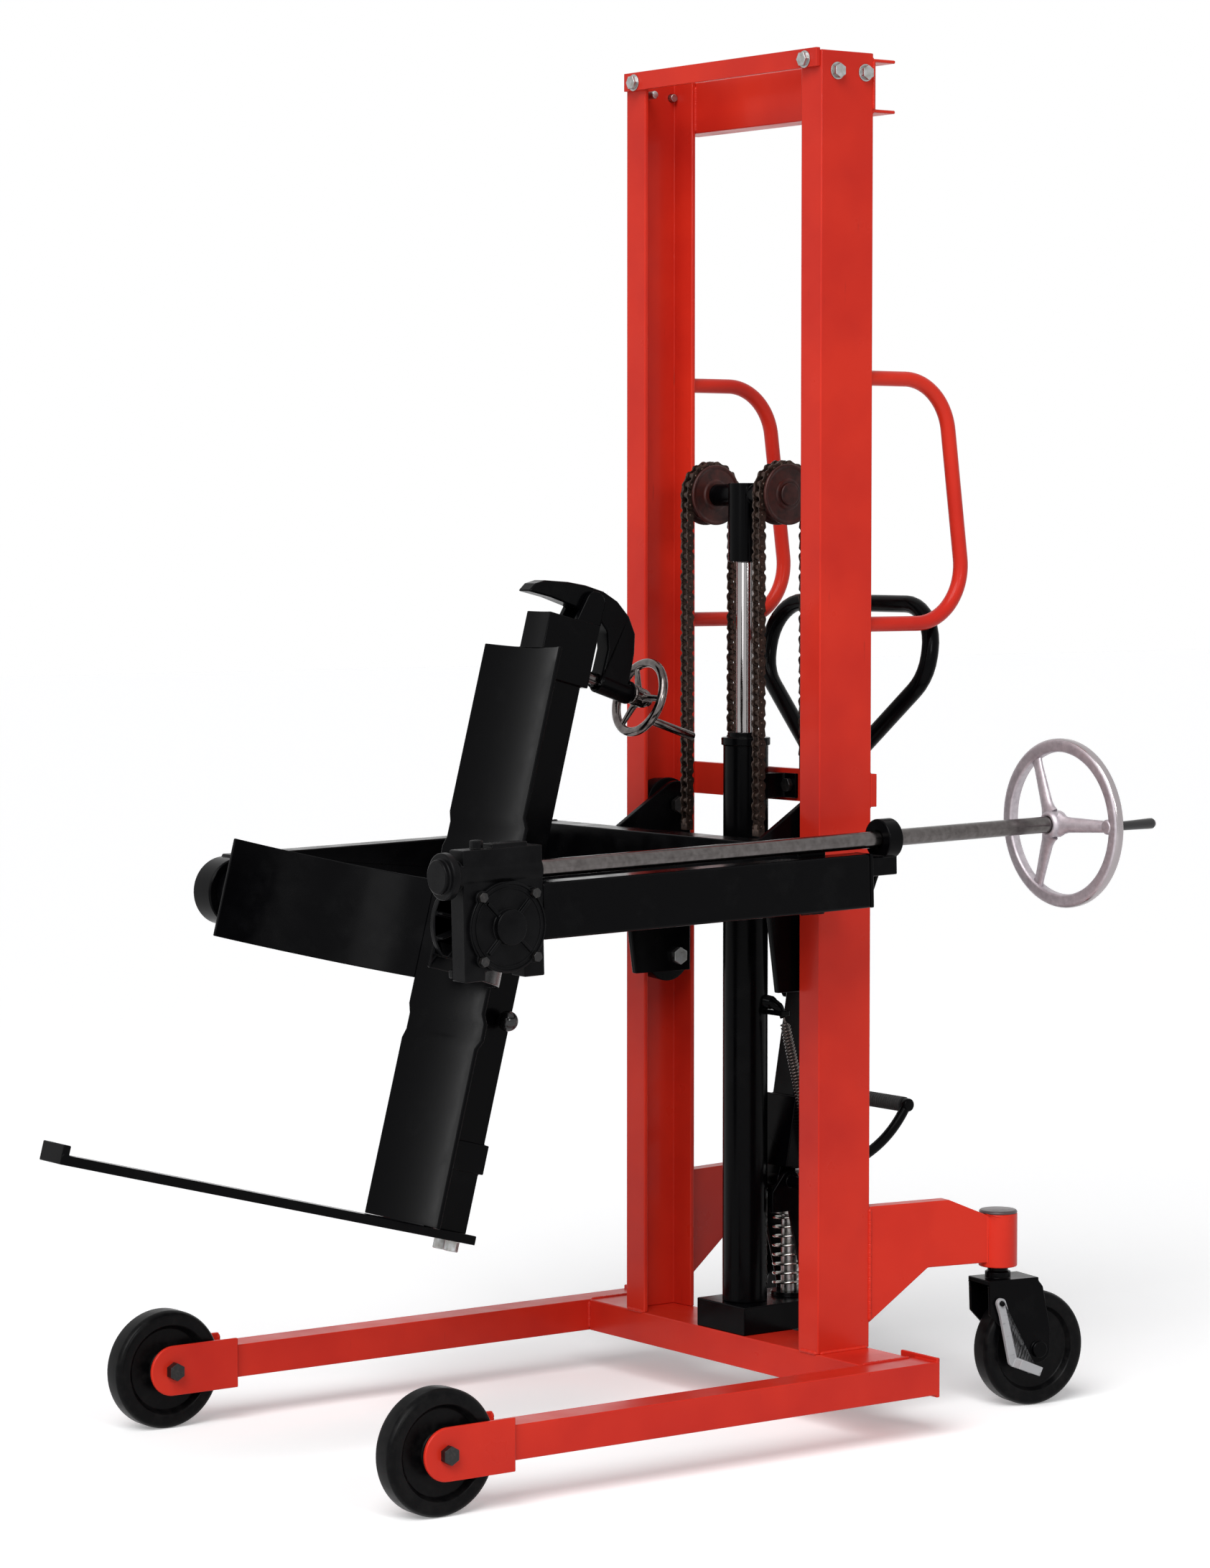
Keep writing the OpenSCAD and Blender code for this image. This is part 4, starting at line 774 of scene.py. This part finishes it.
class TIPPER_OT_lift(bpy.types.Operator):
    """Finishes the cylinder, rod, crosshead and chain wheels"""

    bl_idname = "tipper.lift"
    bl_label = "Lift"

    def execute(self, context):
        rounded("lift_cylinder", 1.2, "lift_cylinder_tube")
        self.strap()
        self.spring_bracket()
        rounded("pump_block", 1.6, "pump_base")
        self.rod()
        head = rounded("crosshead", 1.4, "rod_crosshead")
        repaint(head, "sheave_iron", lambda at: abs(at.x) > CHAIN_X + 15)
        for side in ("left", "right"):
            rounded(f"sheave_{side}", 1.4, f"chain_wheel_{side}")
        return {"FINISHED"}

    def rod(self):
        # Reaches as far down in the cylinder as the lift is high, so that it stays in it at the top
        half = (PISTON_Z[1] - PISTON_Z[0]) / 2
        outline = eased([(0, -half), (14.98, -half), (14.98, half), (0, half)], 1.2)
        bm = bmesh.new()
        turned(bm, outline, Matrix.Translation((0, RAM_Y, PISTON_Z[0] + half)), 48)
        piece_from("piston_rod_chromed", bm, "lift_rod", "chrome_rod", ("piston_rod",), angle=40)

    def strap(self):
        half = [(68, 100), (68, 94), (43, 94), (39.5, 90), (39, 64), (33, 54)]
        outline = half + [(-x, y) for x, y in reversed(half)]
        bm = bmesh.new()
        slab(bm, outline, 38, Matrix.Translation((0, 0, 966)))
        made = piece_from("cylinder_strap", bm, "chassis", "black_paint", ("cylinder_clamp",))
        soften(made, 1.2)

    def spring_bracket(self):
        bm = bmesh.new()
        path = bent([(22, 63, 631), (42, 71, 628), (55, 76, 620), (60, 78, 606)], 10, 6)
        widths = [11 - 6 * i / (len(path) - 1) for i in range(len(path))]
        swept(bm, path, widths, 20, up=(0, 1, 0))
        piece_from("return_spring_bracket", bm, "chassis", "black_paint", angle=50)


def chain_link(bm, place, outer):
    """Adds one link's pair of waisted plates, from its lower joint up along the place's Y axis."""
    waist, middle = 5.0, CHAIN_PITCH / 2
    outline = [*arc(0, 0, PLATE_R, 202, 136, 12), (waist, middle),
               *arc(0, CHAIN_PITCH, PLATE_R, -22, 224, 12), (-waist, middle)]
    x = 7.9 if outer else 5.8
    for s in (-1, 1):
        slab(bm, outline, 1.9, place @ Matrix.Translation((0, 0, s * x)))


def chain_joint(bm, place):
    """Adds a roller on its bush, and the riveted pin through all four plates."""
    turned(bm, eased([(2.6, -4.4), (5.05, -4.4), (5.05, 4.4), (2.6, 4.4)], 0.6, 2), place, 20)
    half = 9.9
    end = [(0.0, -half), (1.6, -half), (2.4, -half + 0.6), (2.6, -half + 1.2)]
    turned(bm, end + [(r, -h) for r, h in reversed(end)], place, 14)


class TIPPER_OT_chains(bpy.types.Operator):
    """Builds the two roller chains link by link"""

    bl_idname = "tipper.chains"
    bl_label = "Roller chains"

    def execute(self, context):
        # Plates lie in the plane of travel: X of the plate frame runs across the chain, Z along the pins
        across = Matrix(((0, 0, 1, 0), (1, 0, 0, 0), (0, 1, 0, 0), (0, 0, 0, 1)))
        front, rear, wraps = bmesh.new(), bmesh.new(), bmesh.new()
        for x in (-CHAIN_X, CHAIN_X):
            for bm, y, count in ((front, RAM_Y - CHAIN_R, FRONT_LINKS), (rear, RAM_Y + CHAIN_R, REAR_LINKS)):
                for i in range(1, count + 1):
                    place = Matrix.Translation((x, y, AXLE_Z - i * CHAIN_PITCH)) @ across
                    chain_link(bm, place, i % 2 == 1)
                    chain_joint(bm, place)
            for i in range(WRAP_LINKS + 1):
                a = math.pi * i / WRAP_LINKS
                spun = Matrix.Translation((x, RAM_Y, AXLE_Z)) @ Matrix.Rotation(-a, 4, "X")
                at = spun @ Matrix.Translation((0, -CHAIN_R, 0))
                if i < WRAP_LINKS:
                    half_step = Matrix.Rotation(-math.pi / WRAP_LINKS / 2, 4, "X")
                    chain_link(wraps, at @ half_step @ across, i % 2 == 1)
                chain_joint(wraps, at @ across)
        low_front = AXLE_Z - FRONT_LINKS * CHAIN_PITCH
        low_rear = AXLE_Z - REAR_LINKS * CHAIN_PITCH
        for x in (-CHAIN_X, CHAIN_X):
            for bm, y, low, foot in ((front, RAM_Y - CHAIN_R, low_front, -14),
                                     (rear, RAM_Y + CHAIN_R, low_rear, MID_BAR_Z[1] - low_rear)):
                outline = [(-6, foot), (6, foot), (6, 1), (4, 4), (-4, 4), (-6, 1)]
                slab(bm, outline, 15, Matrix.Translation((x, y, low)) @ across)
        made = []
        for name, bm, node in (("chain_front_links", front, "chain_front_strands"),
                               ("chain_rear_links", rear, "chain_rear_strands"),
                               ("chain_wheel_links", wraps, "chain_wraps")):
            body = "lift_rod" if node == "chain_wraps" else None
            made.append(piece_from(name, bm, body, "chain_steel", (node,), angle=40))
        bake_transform(made[0])
        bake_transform(made[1])
        return {"FINISHED"}


class TIPPER_OT_carriage(bpy.types.Operator):
    """Finishes the carriage: plates, beam, arms, rollers and bolts"""

    bl_idname = "tipper.carriage"
    bl_label = "Carriage"

    def execute(self, context):
        rounded("carriage_plates", 1.5, "carriage_side_plates")
        rounded("carriage_beam", edge(), "carriage_cross_beam")
        rounded("arm_left", 4.0, "carriage_arm_left", segments=3)
        rounded("arm_right", 2.5, "carriage_arm_right")
        rounded("rollers_upper", 0.8, "mast_rollers_upper")
        rounded("rollers_lower", 0.8, "mast_rollers_lower")
        pins = rounded("carriage_bolts", 0.5, "roller_pins")
        repaint(pins, "black_bolt", lambda at: at.y < -400 or at.z > 880)
        rounded("shaft_bearing", 1.6, "shaft_bearing_ring")
        return {"FINISHED"}


class TIPPER_OT_gearbox(bpy.types.Operator):
    """Finishes the tilting gear's castings"""

    bl_idname = "tipper.gearbox"
    bl_label = "Tilting gear"

    def execute(self, context):
        rounded("gearbox_housing", cast_edge(), "gearbox_casting")
        rounded("gearbox_cover", 1.2, "gearbox_round_cover")
        bm = bmesh.new()
        face = ARMS @ axis_place((383.6, TILT_Y, TILT_Z), (1, 0, 0))
        for radius, high in ((61.0, 2.6), (54.5, 1.6)):
            rim = [(radius - 1.4, 0), (radius - 0.9, high), (radius + 0.9, high), (radius + 1.4, 0)]
            turned(bm, eased(rim, 0.5), face, 96)
        piece_from("gearbox_cover_rims", bm, "carriage", "black_casting", angle=50)
        rounded("tilt_hub", cast_edge(), "ribbed_hub")
        rounded("worm_wheel", 0.3, "bronze_worm_wheel")
        return {"FINISHED"}


def spoked_wheel(bm, place, rim_r, rim_profile, hub_profile, hub_r, wide, deep, bulge):
    """Adds a cast handwheel: a turned rim and hub, and tapered oval spokes between them."""
    turned(bm, rim_profile, place, 96)
    turned(bm, hub_profile, place, 48)
    for a in SPOKES:
        turn = place @ Matrix.Rotation(a, 4, "Z")
        rings = []
        for i in range(13):
            t = i / 12
            r = hub_r + (rim_r - hub_r) * t
            flare = 1 + 0.55 * (1 - min(1, t * 5)) ** 2 + 0.45 * (1 - min(1, (1 - t) * 6)) ** 2
            half_w = (wide[0] + (wide[1] - wide[0]) * t) * flare / 2
            half_d = (deep[0] + (deep[1] - deep[0]) * t) / 2
            h = bulge[0] + (bulge[1] - bulge[0]) * t
            rings.append([bm.verts.new(turn @ Vector((r, half_w * math.cos(k), h + half_d * math.sin(k))))
                          for k in around(16)])
        for here, after in zip(rings, rings[1:]):
            band(bm, here, after)
        lids(bm, rings)


class TIPPER_OT_tilt_drive(bpy.types.Operator):
    """Builds the drive shaft, its cast handwheel and the crank grip"""

    bl_idname = "tipper.tilt_drive"
    bl_label = "Tilt drive"

    def execute(self, context):
        rounded("drive_shaft", 1.0, "drive_shaft_bar", "shaft_steel")
        bm = bmesh.new()
        place = ARMS @ axis_place((SHAFT_X, RIM_Y, SHAFT_Z), (0, 1, 0))
        rim = [(109.5, 3), (112, 0.2), (126, 0), (130, 4), (130, 14), (126, 18), (112, 17.8), (109.5, 15)]
        hub = [(12.6, -24), (17, -24), (20.5, -19), (21.5, -8), (20, 3),
               (14, 8), (0.0, 8), (0.0, 1), (12.6, 1)]
        spoked_wheel(bm, place, 113, eased(rim, 3.2), eased(hub, 2.5), 16, (25, 17), (15, 9), (-11, 8.5))
        boss = place @ Matrix.Translation((106, 0, 0))
        boss_outline = [(0, -1.0), (9, -1.0), (11.5, 2), (11.5, 16), (9, 18.2), (0, 18.2)]
        turned(bm, eased(boss_outline, 1.5), boss, 32)
        pin = [(0, 10), (4, 10), (4, 96.4), (6, 96.4), (6, 98.4), (4.5, 99.1), (0, 99.1)]
        turned(bm, eased(pin, 0.5), boss, 24)
        wheel = piece_from("tilt_handwheel_casting", bm, "drive", "cast_aluminium",
                           ("tilt_handwheel",), angle=50)
        repaint(wheel, "polished_rim", lambda at: (place.inverted() @ at).xy.length > 127.5)
        bm = bmesh.new()
        sleeve = [(4.05, 18.4), (6.4, 18.4), (6.9, 21), (7.3, 50),
                  (8.3, 90), (8.3, 94), (7.2, 96.2), (4.05, 96.2)]
        turned(bm, eased(sleeve, 1.2), boss, 32)
        piece_from("crank_grip_sleeve", bm, "crank", "knob_plastic", ("crank_grip",), angle=50)
        return {"FINISHED"}


class TIPPER_OT_cradle(bpy.types.Operator):
    """Finishes the cradle that carries the drum"""

    bl_idname = "tipper.cradle"
    bl_label = "Cradle"

    def execute(self, context):
        rounded("drum_saddle", 1.5, "saddle_band")
        rounded("back_bar", 1.5, "back_bar_and_trough")
        foot = rounded("bottom_arm", 1.5, "foot_arm")
        repaint(foot, "bright_steel", lambda at: (CRADLE.inverted() @ at).z < -FOOT_DEPTH - 0.5)
        bm = bmesh.new()
        place = CRADLE @ axis_place((46, 272, -113), (1, 0, 0))
        stem = [(0.0, -33), (6, -33), (6, -16.5), (8.2, -16.5), (8.2, -14)]
        ball = arc(0, 0, BALL_R, -60, 150, 25)
        turned(bm, stem + ball[:-1] + [(0.0, BALL_R)], place, 48)
        piece_from("latch_ball_knob", bm, "latch", "knob_plastic", ("latch_knob",), angle=50)
        return {"FINISHED"}


class TIPPER_OT_clamp(bpy.types.Operator):
    """Builds the drum clamp: hook, screw and small handwheel"""

    bl_idname = "tipper.clamp"
    bl_label = "Drum clamp"

    def execute(self, context):
        rounded("clamp_hook", 3.5, "clamp_hook_casting", segments=3)
        rounded("clamp_screw", 0.6, "clamp_screw_bar", "shaft_steel")
        slope = math.radians(4)
        place = CRADLE @ axis_place((0, 366, 418), (0, math.cos(slope), -math.sin(slope)))
        bm = bmesh.new()
        rim = [(55 + 7 * math.cos(a), 56 + 7 * math.sin(a)) for a in around(16)]
        hub = [(9.1, 38), (14, 38), (15, 42), (15, 62), (13, 68), (9.1, 68)]
        spoked_wheel(bm, place, 51, rim, eased(hub, 2), 12, (12, 9), (10, 7), (55, 56))
        crank = place @ Matrix.Rotation(math.radians(39), 4, "Z") @ Matrix.Translation((55, 0, 0))
        turned(bm, eased([(0, 60), (6.5, 60), (6.5, 140), (5.5, 141), (0, 141)], 1), crank, 24)
        piece_from("clamp_handwheel_casting", bm, "clamp_wheel", "cast_aluminium", ("clamp_handwheel",),
                   "chromed_wheel", 50)
        return {"FINISHED"}


class TIPPER_OT_wheels(bpy.types.Operator):
    """Turns the four wheels and finishes the casters"""

    bl_idname = "tipper.wheels"
    bl_label = "Wheels and casters"

    def execute(self, context):
        for side, s in (("left", 1), ("right", -1)):
            for node, body, bore, half, place in (
                (f"front_wheel_{side}", f"front_wheel_{side[0]}", 10.05, 21.0,
                 axis_place((s * 369, -782, WHEEL_R), (1, 0, 0))),
                (f"caster_wheel_{side}", f"caster_wheel_{side[0]}", 8.05, 21.5, self.caster_place(s)),
            ):
                bm = bmesh.new()
                face = [(bore, -half - 1), (20, -half - 1), (23, -half + 1), (26, -half + 1),
                        (29, -half * 0.42), (62, -half * 0.42), (68, -half + 1.5), (82, -half),
                        (87, -half + 2.2), (WHEEL_R, -half + 8)]
                outline = face + [(r, -h) for r, h in reversed(face)]
                turned(bm, eased(outline, 2.2), place, 96)
                piece_from(f"{node}_turned", bm, body, "wheel_nylon", (node,), angle=45)
            rounded(f"caster_fork_{side}", 1.4, f"caster_fork_pressing_{side}")
            rounded(f"caster_brake_{side}", 0.8, f"caster_brake_lever_{side}")
            bm = bmesh.new()
            cap = eased([(0, 304), (29.5, 304), (30, 306), (28, 309), (0, 310)], 1.5)
            turned(bm, cap, Matrix.Translation((s * KINGPIN[0], KINGPIN[1], 0)), 48)
            # The caps take the darker cap enamel, part of whose darkness is painted shade for their lit tops.
            piece_from(f"kingpin_cap_{side}", bm, "chassis", "grey_paint", look="cap_paint", angle=50)
        return {"FINISHED"}

    @staticmethod
    def caster_place(s):
        along = Vector((s * math.sin(CASTER_TURN), math.cos(CASTER_TURN), 0))
        at = Vector((s * KINGPIN[0], KINGPIN[1], WHEEL_R)) + along * CASTER_TRAIL
        return axis_place(at, (math.cos(CASTER_TURN), -s * math.sin(CASTER_TURN), 0))


def coil(radius, start, pitch, turns, per_turn):
    """Points of a helix that climbs from a start by a pitch for each turn."""
    steps = [i / per_turn for i in range(turns * per_turn + 1)]
    return [(radius * math.cos(2 * math.pi * t), radius * math.sin(2 * math.pi * t), start + pitch * t)
            for t in steps]


class TIPPER_OT_pump(bpy.types.Operator):
    """Builds the pump's plunger, springs and pedal"""

    bl_idname = "tipper.pump"
    bl_label = "Pump and pedal"

    def execute(self, context):
        rounded("pump_plunger", 1.0, "pump_plunger_turned")
        self.pedal()
        low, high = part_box("pump_spring")
        bm = bmesh.new()
        wire = 2.0
        z0, z1 = low.z / MM + wire, high.z / MM - wire
        swept(bm, [(x, y + PUMP_Y, z) for x, y, z in coil(26, z0, (z1 - z0) / 8, 8, 24)], wire, 12)
        made = piece_from("pump_spring_wound", bm, None, "bright_steel", ("pump_spring",), "spring_steel", 60)
        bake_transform(made)
        self.return_spring()
        self.grip()
        return {"FINISHED"}

    def pedal(self):
        # Two round bars, bent up towards the foot, with an eye at the pivot and a crossbar under the grip
        pivot, grip = Vector(PEDAL_PIVOT), Vector(PEDAL_GRIP)
        knee, pull = Vector((190, 367)), Vector((276, 386))
        side = [pivot + Vector((11, 3))]
        for i in range(17):
            t = i / 16
            side.append((1 - t) ** 2 * knee + 2 * t * (1 - t) * pull + t * t * grip)
        radii = [11.0] + [8.0 + 2.0 * max(0, 1 - i / 5) for i in range(17)]
        bm = bmesh.new()
        for s in (-1, 1):
            swept(bm, [(s * 73, at.x, at.y) for at in side], radii, 24, up=(1, 0, 0))
            eye = eased([(9.05, -5), (15.5, -5), (15.5, 5), (9.05, 5)], 1.2)
            turned(bm, eye, axis_place((s * 73, *pivot), (1, 0, 0)), 40)
            end = eased([(0, -6), (10.5, -6), (10.5, 7), (0, 7)], 3.5)
            turned(bm, end, axis_place((s * 74, *grip), (s, 0, 0)), 32)
        turned(bm, [(0, -70), (7, -70), (7, 70), (0, 70)], axis_place((0, *grip), (1, 0, 0)), 24)
        turned(bm, [(0, 0), (3, 0), (3, 17), (0, 17)], axis_place((56, 143, 359.8), (1, 0, 0)), 16)
        piece_from("pedal_lever", bm, "pedal", "black_paint", ("pedal",), angle=50)

    def return_spring(self):
        top, foot = Vector((60, 78, 608.4)), Vector((60, 143, 363.6))
        span = (top - foot).length
        hook, wire, radius = 12.0, 1.5, 6.5
        turns = int((span - 2 * hook) / 5.2)
        pitch = (span - 2 * hook) / turns
        place = axis_place(foot, top - foot)
        path = [(0, 0, 0), (0, 0, hook - 3), *coil(radius, hook, pitch, turns, 20),
                (0, 0, span - hook + 3), (0, 0, span)]
        bm = bmesh.new()
        swept(bm, [place @ Vector(p) for p in path], wire, 10)
        made = piece_from("return_spring_wound", bm, None, "bright_steel",
                          ("return_spring",), "oiled_spring", 60)
        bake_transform(made)

    def grip(self):
        bm = bmesh.new()
        outline = [(7.05, -GRIP_HALF)]
        for k in range(GRIP_RIBS):
            z = k * 2 * GRIP_HALF / GRIP_RIBS - GRIP_HALF
            outline += [(12.0, z + 0.2), (12.0, z + 3.2), (10.9, z + 3.8), (10.9, z + 5.2)]
        outline += [(12.0, GRIP_HALF), (7.05, GRIP_HALF)]
        turned(bm, outline, axis_place((0, *PEDAL_GRIP), (1, 0, 0)), 32)
        piece_from("pedal_grip_ribbed", bm, "pedal", "grip_rubber", ("pedal_grip",), angle=30)


class TIPPER_OT_tiller(bpy.types.Operator):
    """Finishes the tiller and its lever"""

    bl_idname = "tipper.tiller"
    bl_label = "Tiller"

    def execute(self, context):
        rounded("tiller", 1.6, "tiller_welded", angle=34)
        rounded("release_lever", 1.2, "release_lever_bar")
        return {"FINISHED"}


# Stage

FLOOR_GLOW = 0.26


class TIPPER_OT_stage(bpy.types.Operator):
    """Lays the floor, hangs the lights and sets the camera at the photograph's angle"""

    bl_idname = "tipper.stage"
    bl_label = "Studio"

    def execute(self, context):
        scene = context.scene
        scene.view_settings.view_transform = "Standard"
        self.floor(scene)
        self.world(scene)
        sizes = scene.tipper_sizes
        self.broad("overhead_light", (0.46, -0.64, 0.80), 40, sizes.sun_strength)
        self.lamp("strip_light", (4.6, -1.6, 2.6), (0.1, -0.3, 0.95), 1.1, sizes.key_power)
        self.lamp("fill_light", (1.2, -5.6, 2.6), (0.1, -0.2, 0.9), 2.4, sizes.fill_power)
        self.camera(scene)
        return {"FINISHED"}

    def floor(self, scene):
        bm = bmesh.new()
        bmesh.ops.create_grid(bm, x_segments=1, y_segments=1, size=30)
        mesh = bpy.data.meshes.new("studio_floor")
        bm.to_mesh(mesh)
        bm.free()
        piece = bpy.data.objects.new("studio_floor", mesh)
        scene.collection.objects.link(piece)
        coat = Coat("white_paper_floor")
        glow = arithmetic(coat.tree, "MULTIPLY", self.seen_rays(coat.tree), FLOOR_GLOW)
        coat.fill({
            "Base Color": (*scene.tipper_finish.floor, 1), "Roughness": 0.9, "Specular IOR Level": 0.1,
            "Emission Color": (1, 1, 1, 1), "Emission Strength": glow})
        mesh.materials.append(coat.material)

    def world(self, scene):
        world = bpy.data.worlds.new("studio_air")
        scene.world = world
        world.use_nodes = True
        tree = world.node_tree
        tree.nodes.clear()
        soft = add_node(tree, "ShaderNodeBackground", inputs={"Color": srgb("#EDEEF2"), "Strength": 0.22})
        white = add_node(tree, "ShaderNodeBackground", inputs={"Color": (1, 1, 1, 1), "Strength": 1.0})
        both = add_node(tree, "ShaderNodeMixShader", inputs={
            0: self.seen_rays(tree), 1: soft.outputs["Background"], 2: white.outputs["Background"]})
        add_node(tree, "ShaderNodeOutputWorld", inputs={"Surface": both.outputs["Shader"]})

    @staticmethod
    def seen_rays(tree):
        """1 on the rays that show the background itself: to the camera, in a reflection or through glass."""
        rays = add_node(tree, "ShaderNodeLightPath").outputs
        some = arithmetic(tree, "MAXIMUM", rays["Is Camera Ray"], rays["Is Glossy Ray"])
        return arithmetic(tree, "MAXIMUM", some, rays["Is Transmission Ray"])

    def broad(self, name, towards, spread, strength):
        data = bpy.data.lights.new(name, "SUN")
        data.angle = math.radians(spread)
        data.energy = strength
        self.hang(data, (0, 0, 0), Vector(towards).to_track_quat("Z", "Y"))

    def lamp(self, name, at, towards, size, power):
        data = bpy.data.lights.new(name, "AREA")
        data.shape = "DISK"
        data.size = size
        data.energy = power
        self.hang(data, at, (Vector(towards) - Vector(at)).to_track_quat("-Z", "Y"))

    def hang(self, data, at, turn):
        lamp = bpy.data.objects.new(data.name, data)
        lamp.location = at
        lamp.rotation_euler = turn.to_euler()
        bpy.context.scene.collection.objects.link(lamp)

    def camera(self, scene):
        data = bpy.data.cameras.new("photo_camera")
        data.sensor_fit = "VERTICAL"
        data.sensor_height = 36.0
        data.lens = 99.584
        data.clip_end = 60
        camera = bpy.data.objects.new("photo_camera", data)
        right = Vector((0.59163261, 0.8062077, 0.0))
        up = Vector((-0.0475446, 0.03489043, 0.99825957))
        back = Vector((0.80480455, -0.59060291, 0.05897314))
        at = (right * -178.0247 + up * 967.1664 + back * 6759.649) * MM
        camera.matrix_world = Matrix.Translation(at) @ Matrix((right, up, back)).transposed().to_4x4()
        scene.collection.objects.link(camera)
        scene.camera = camera


# Panel and registration

STEPS = (
    TIPPER_OT_steelwork,
    TIPPER_OT_push_handles,
    TIPPER_OT_welds,
    TIPPER_OT_lift,
    TIPPER_OT_chains,
    TIPPER_OT_carriage,
    TIPPER_OT_gearbox,
    TIPPER_OT_tilt_drive,
    TIPPER_OT_cradle,
    TIPPER_OT_clamp,
    TIPPER_OT_wheels,
    TIPPER_OT_pump,
    TIPPER_OT_tiller,
    TIPPER_OT_stage,
)


class TIPPER_PT_panel(bpy.types.Panel):
    """Lists the settings and the steps that build the drum tipper"""

    bl_idname = "TIPPER_PT_panel"
    bl_label = "Drum tipper"
    bl_space_type = "VIEW_3D"
    bl_region_type = "UI"
    bl_category = "Drum tipper"

    def draw(self, context):
        layout = self.layout
        for group in (context.scene.tipper_finish, context.scene.tipper_sizes):
            column = layout.column()
            for key in group.__annotations__:
                column.prop(group, key)
        for step in STEPS:
            layout.operator(step.bl_idname)


CLASSES = (TipperFinish, TipperSizes, *STEPS, TIPPER_PT_panel)


def register():
    for cls in CLASSES:
        bpy.utils.register_class(cls)
    bpy.types.Scene.tipper_finish = PointerProperty(type=TipperFinish)
    bpy.types.Scene.tipper_sizes = PointerProperty(type=TipperSizes)


def unregister():
    del bpy.types.Scene.tipper_sizes
    del bpy.types.Scene.tipper_finish
    for cls in reversed(CLASSES):
        bpy.utils.unregister_class(cls)


def main():
    register()
    bpy.ops.tipper.steelwork()
    bpy.ops.tipper.push_handles()
    bpy.ops.tipper.welds()
    bpy.ops.tipper.lift()
    bpy.ops.tipper.chains()
    bpy.ops.tipper.carriage()
    bpy.ops.tipper.gearbox()
    bpy.ops.tipper.tilt_drive()
    bpy.ops.tipper.cradle()
    bpy.ops.tipper.clamp()
    bpy.ops.tipper.wheels()
    bpy.ops.tipper.pump()
    bpy.ops.tipper.tiller()
    bpy.ops.tipper.stage()
    bpy.context.view_layer.update()


if __name__ == "__main__":
    main()
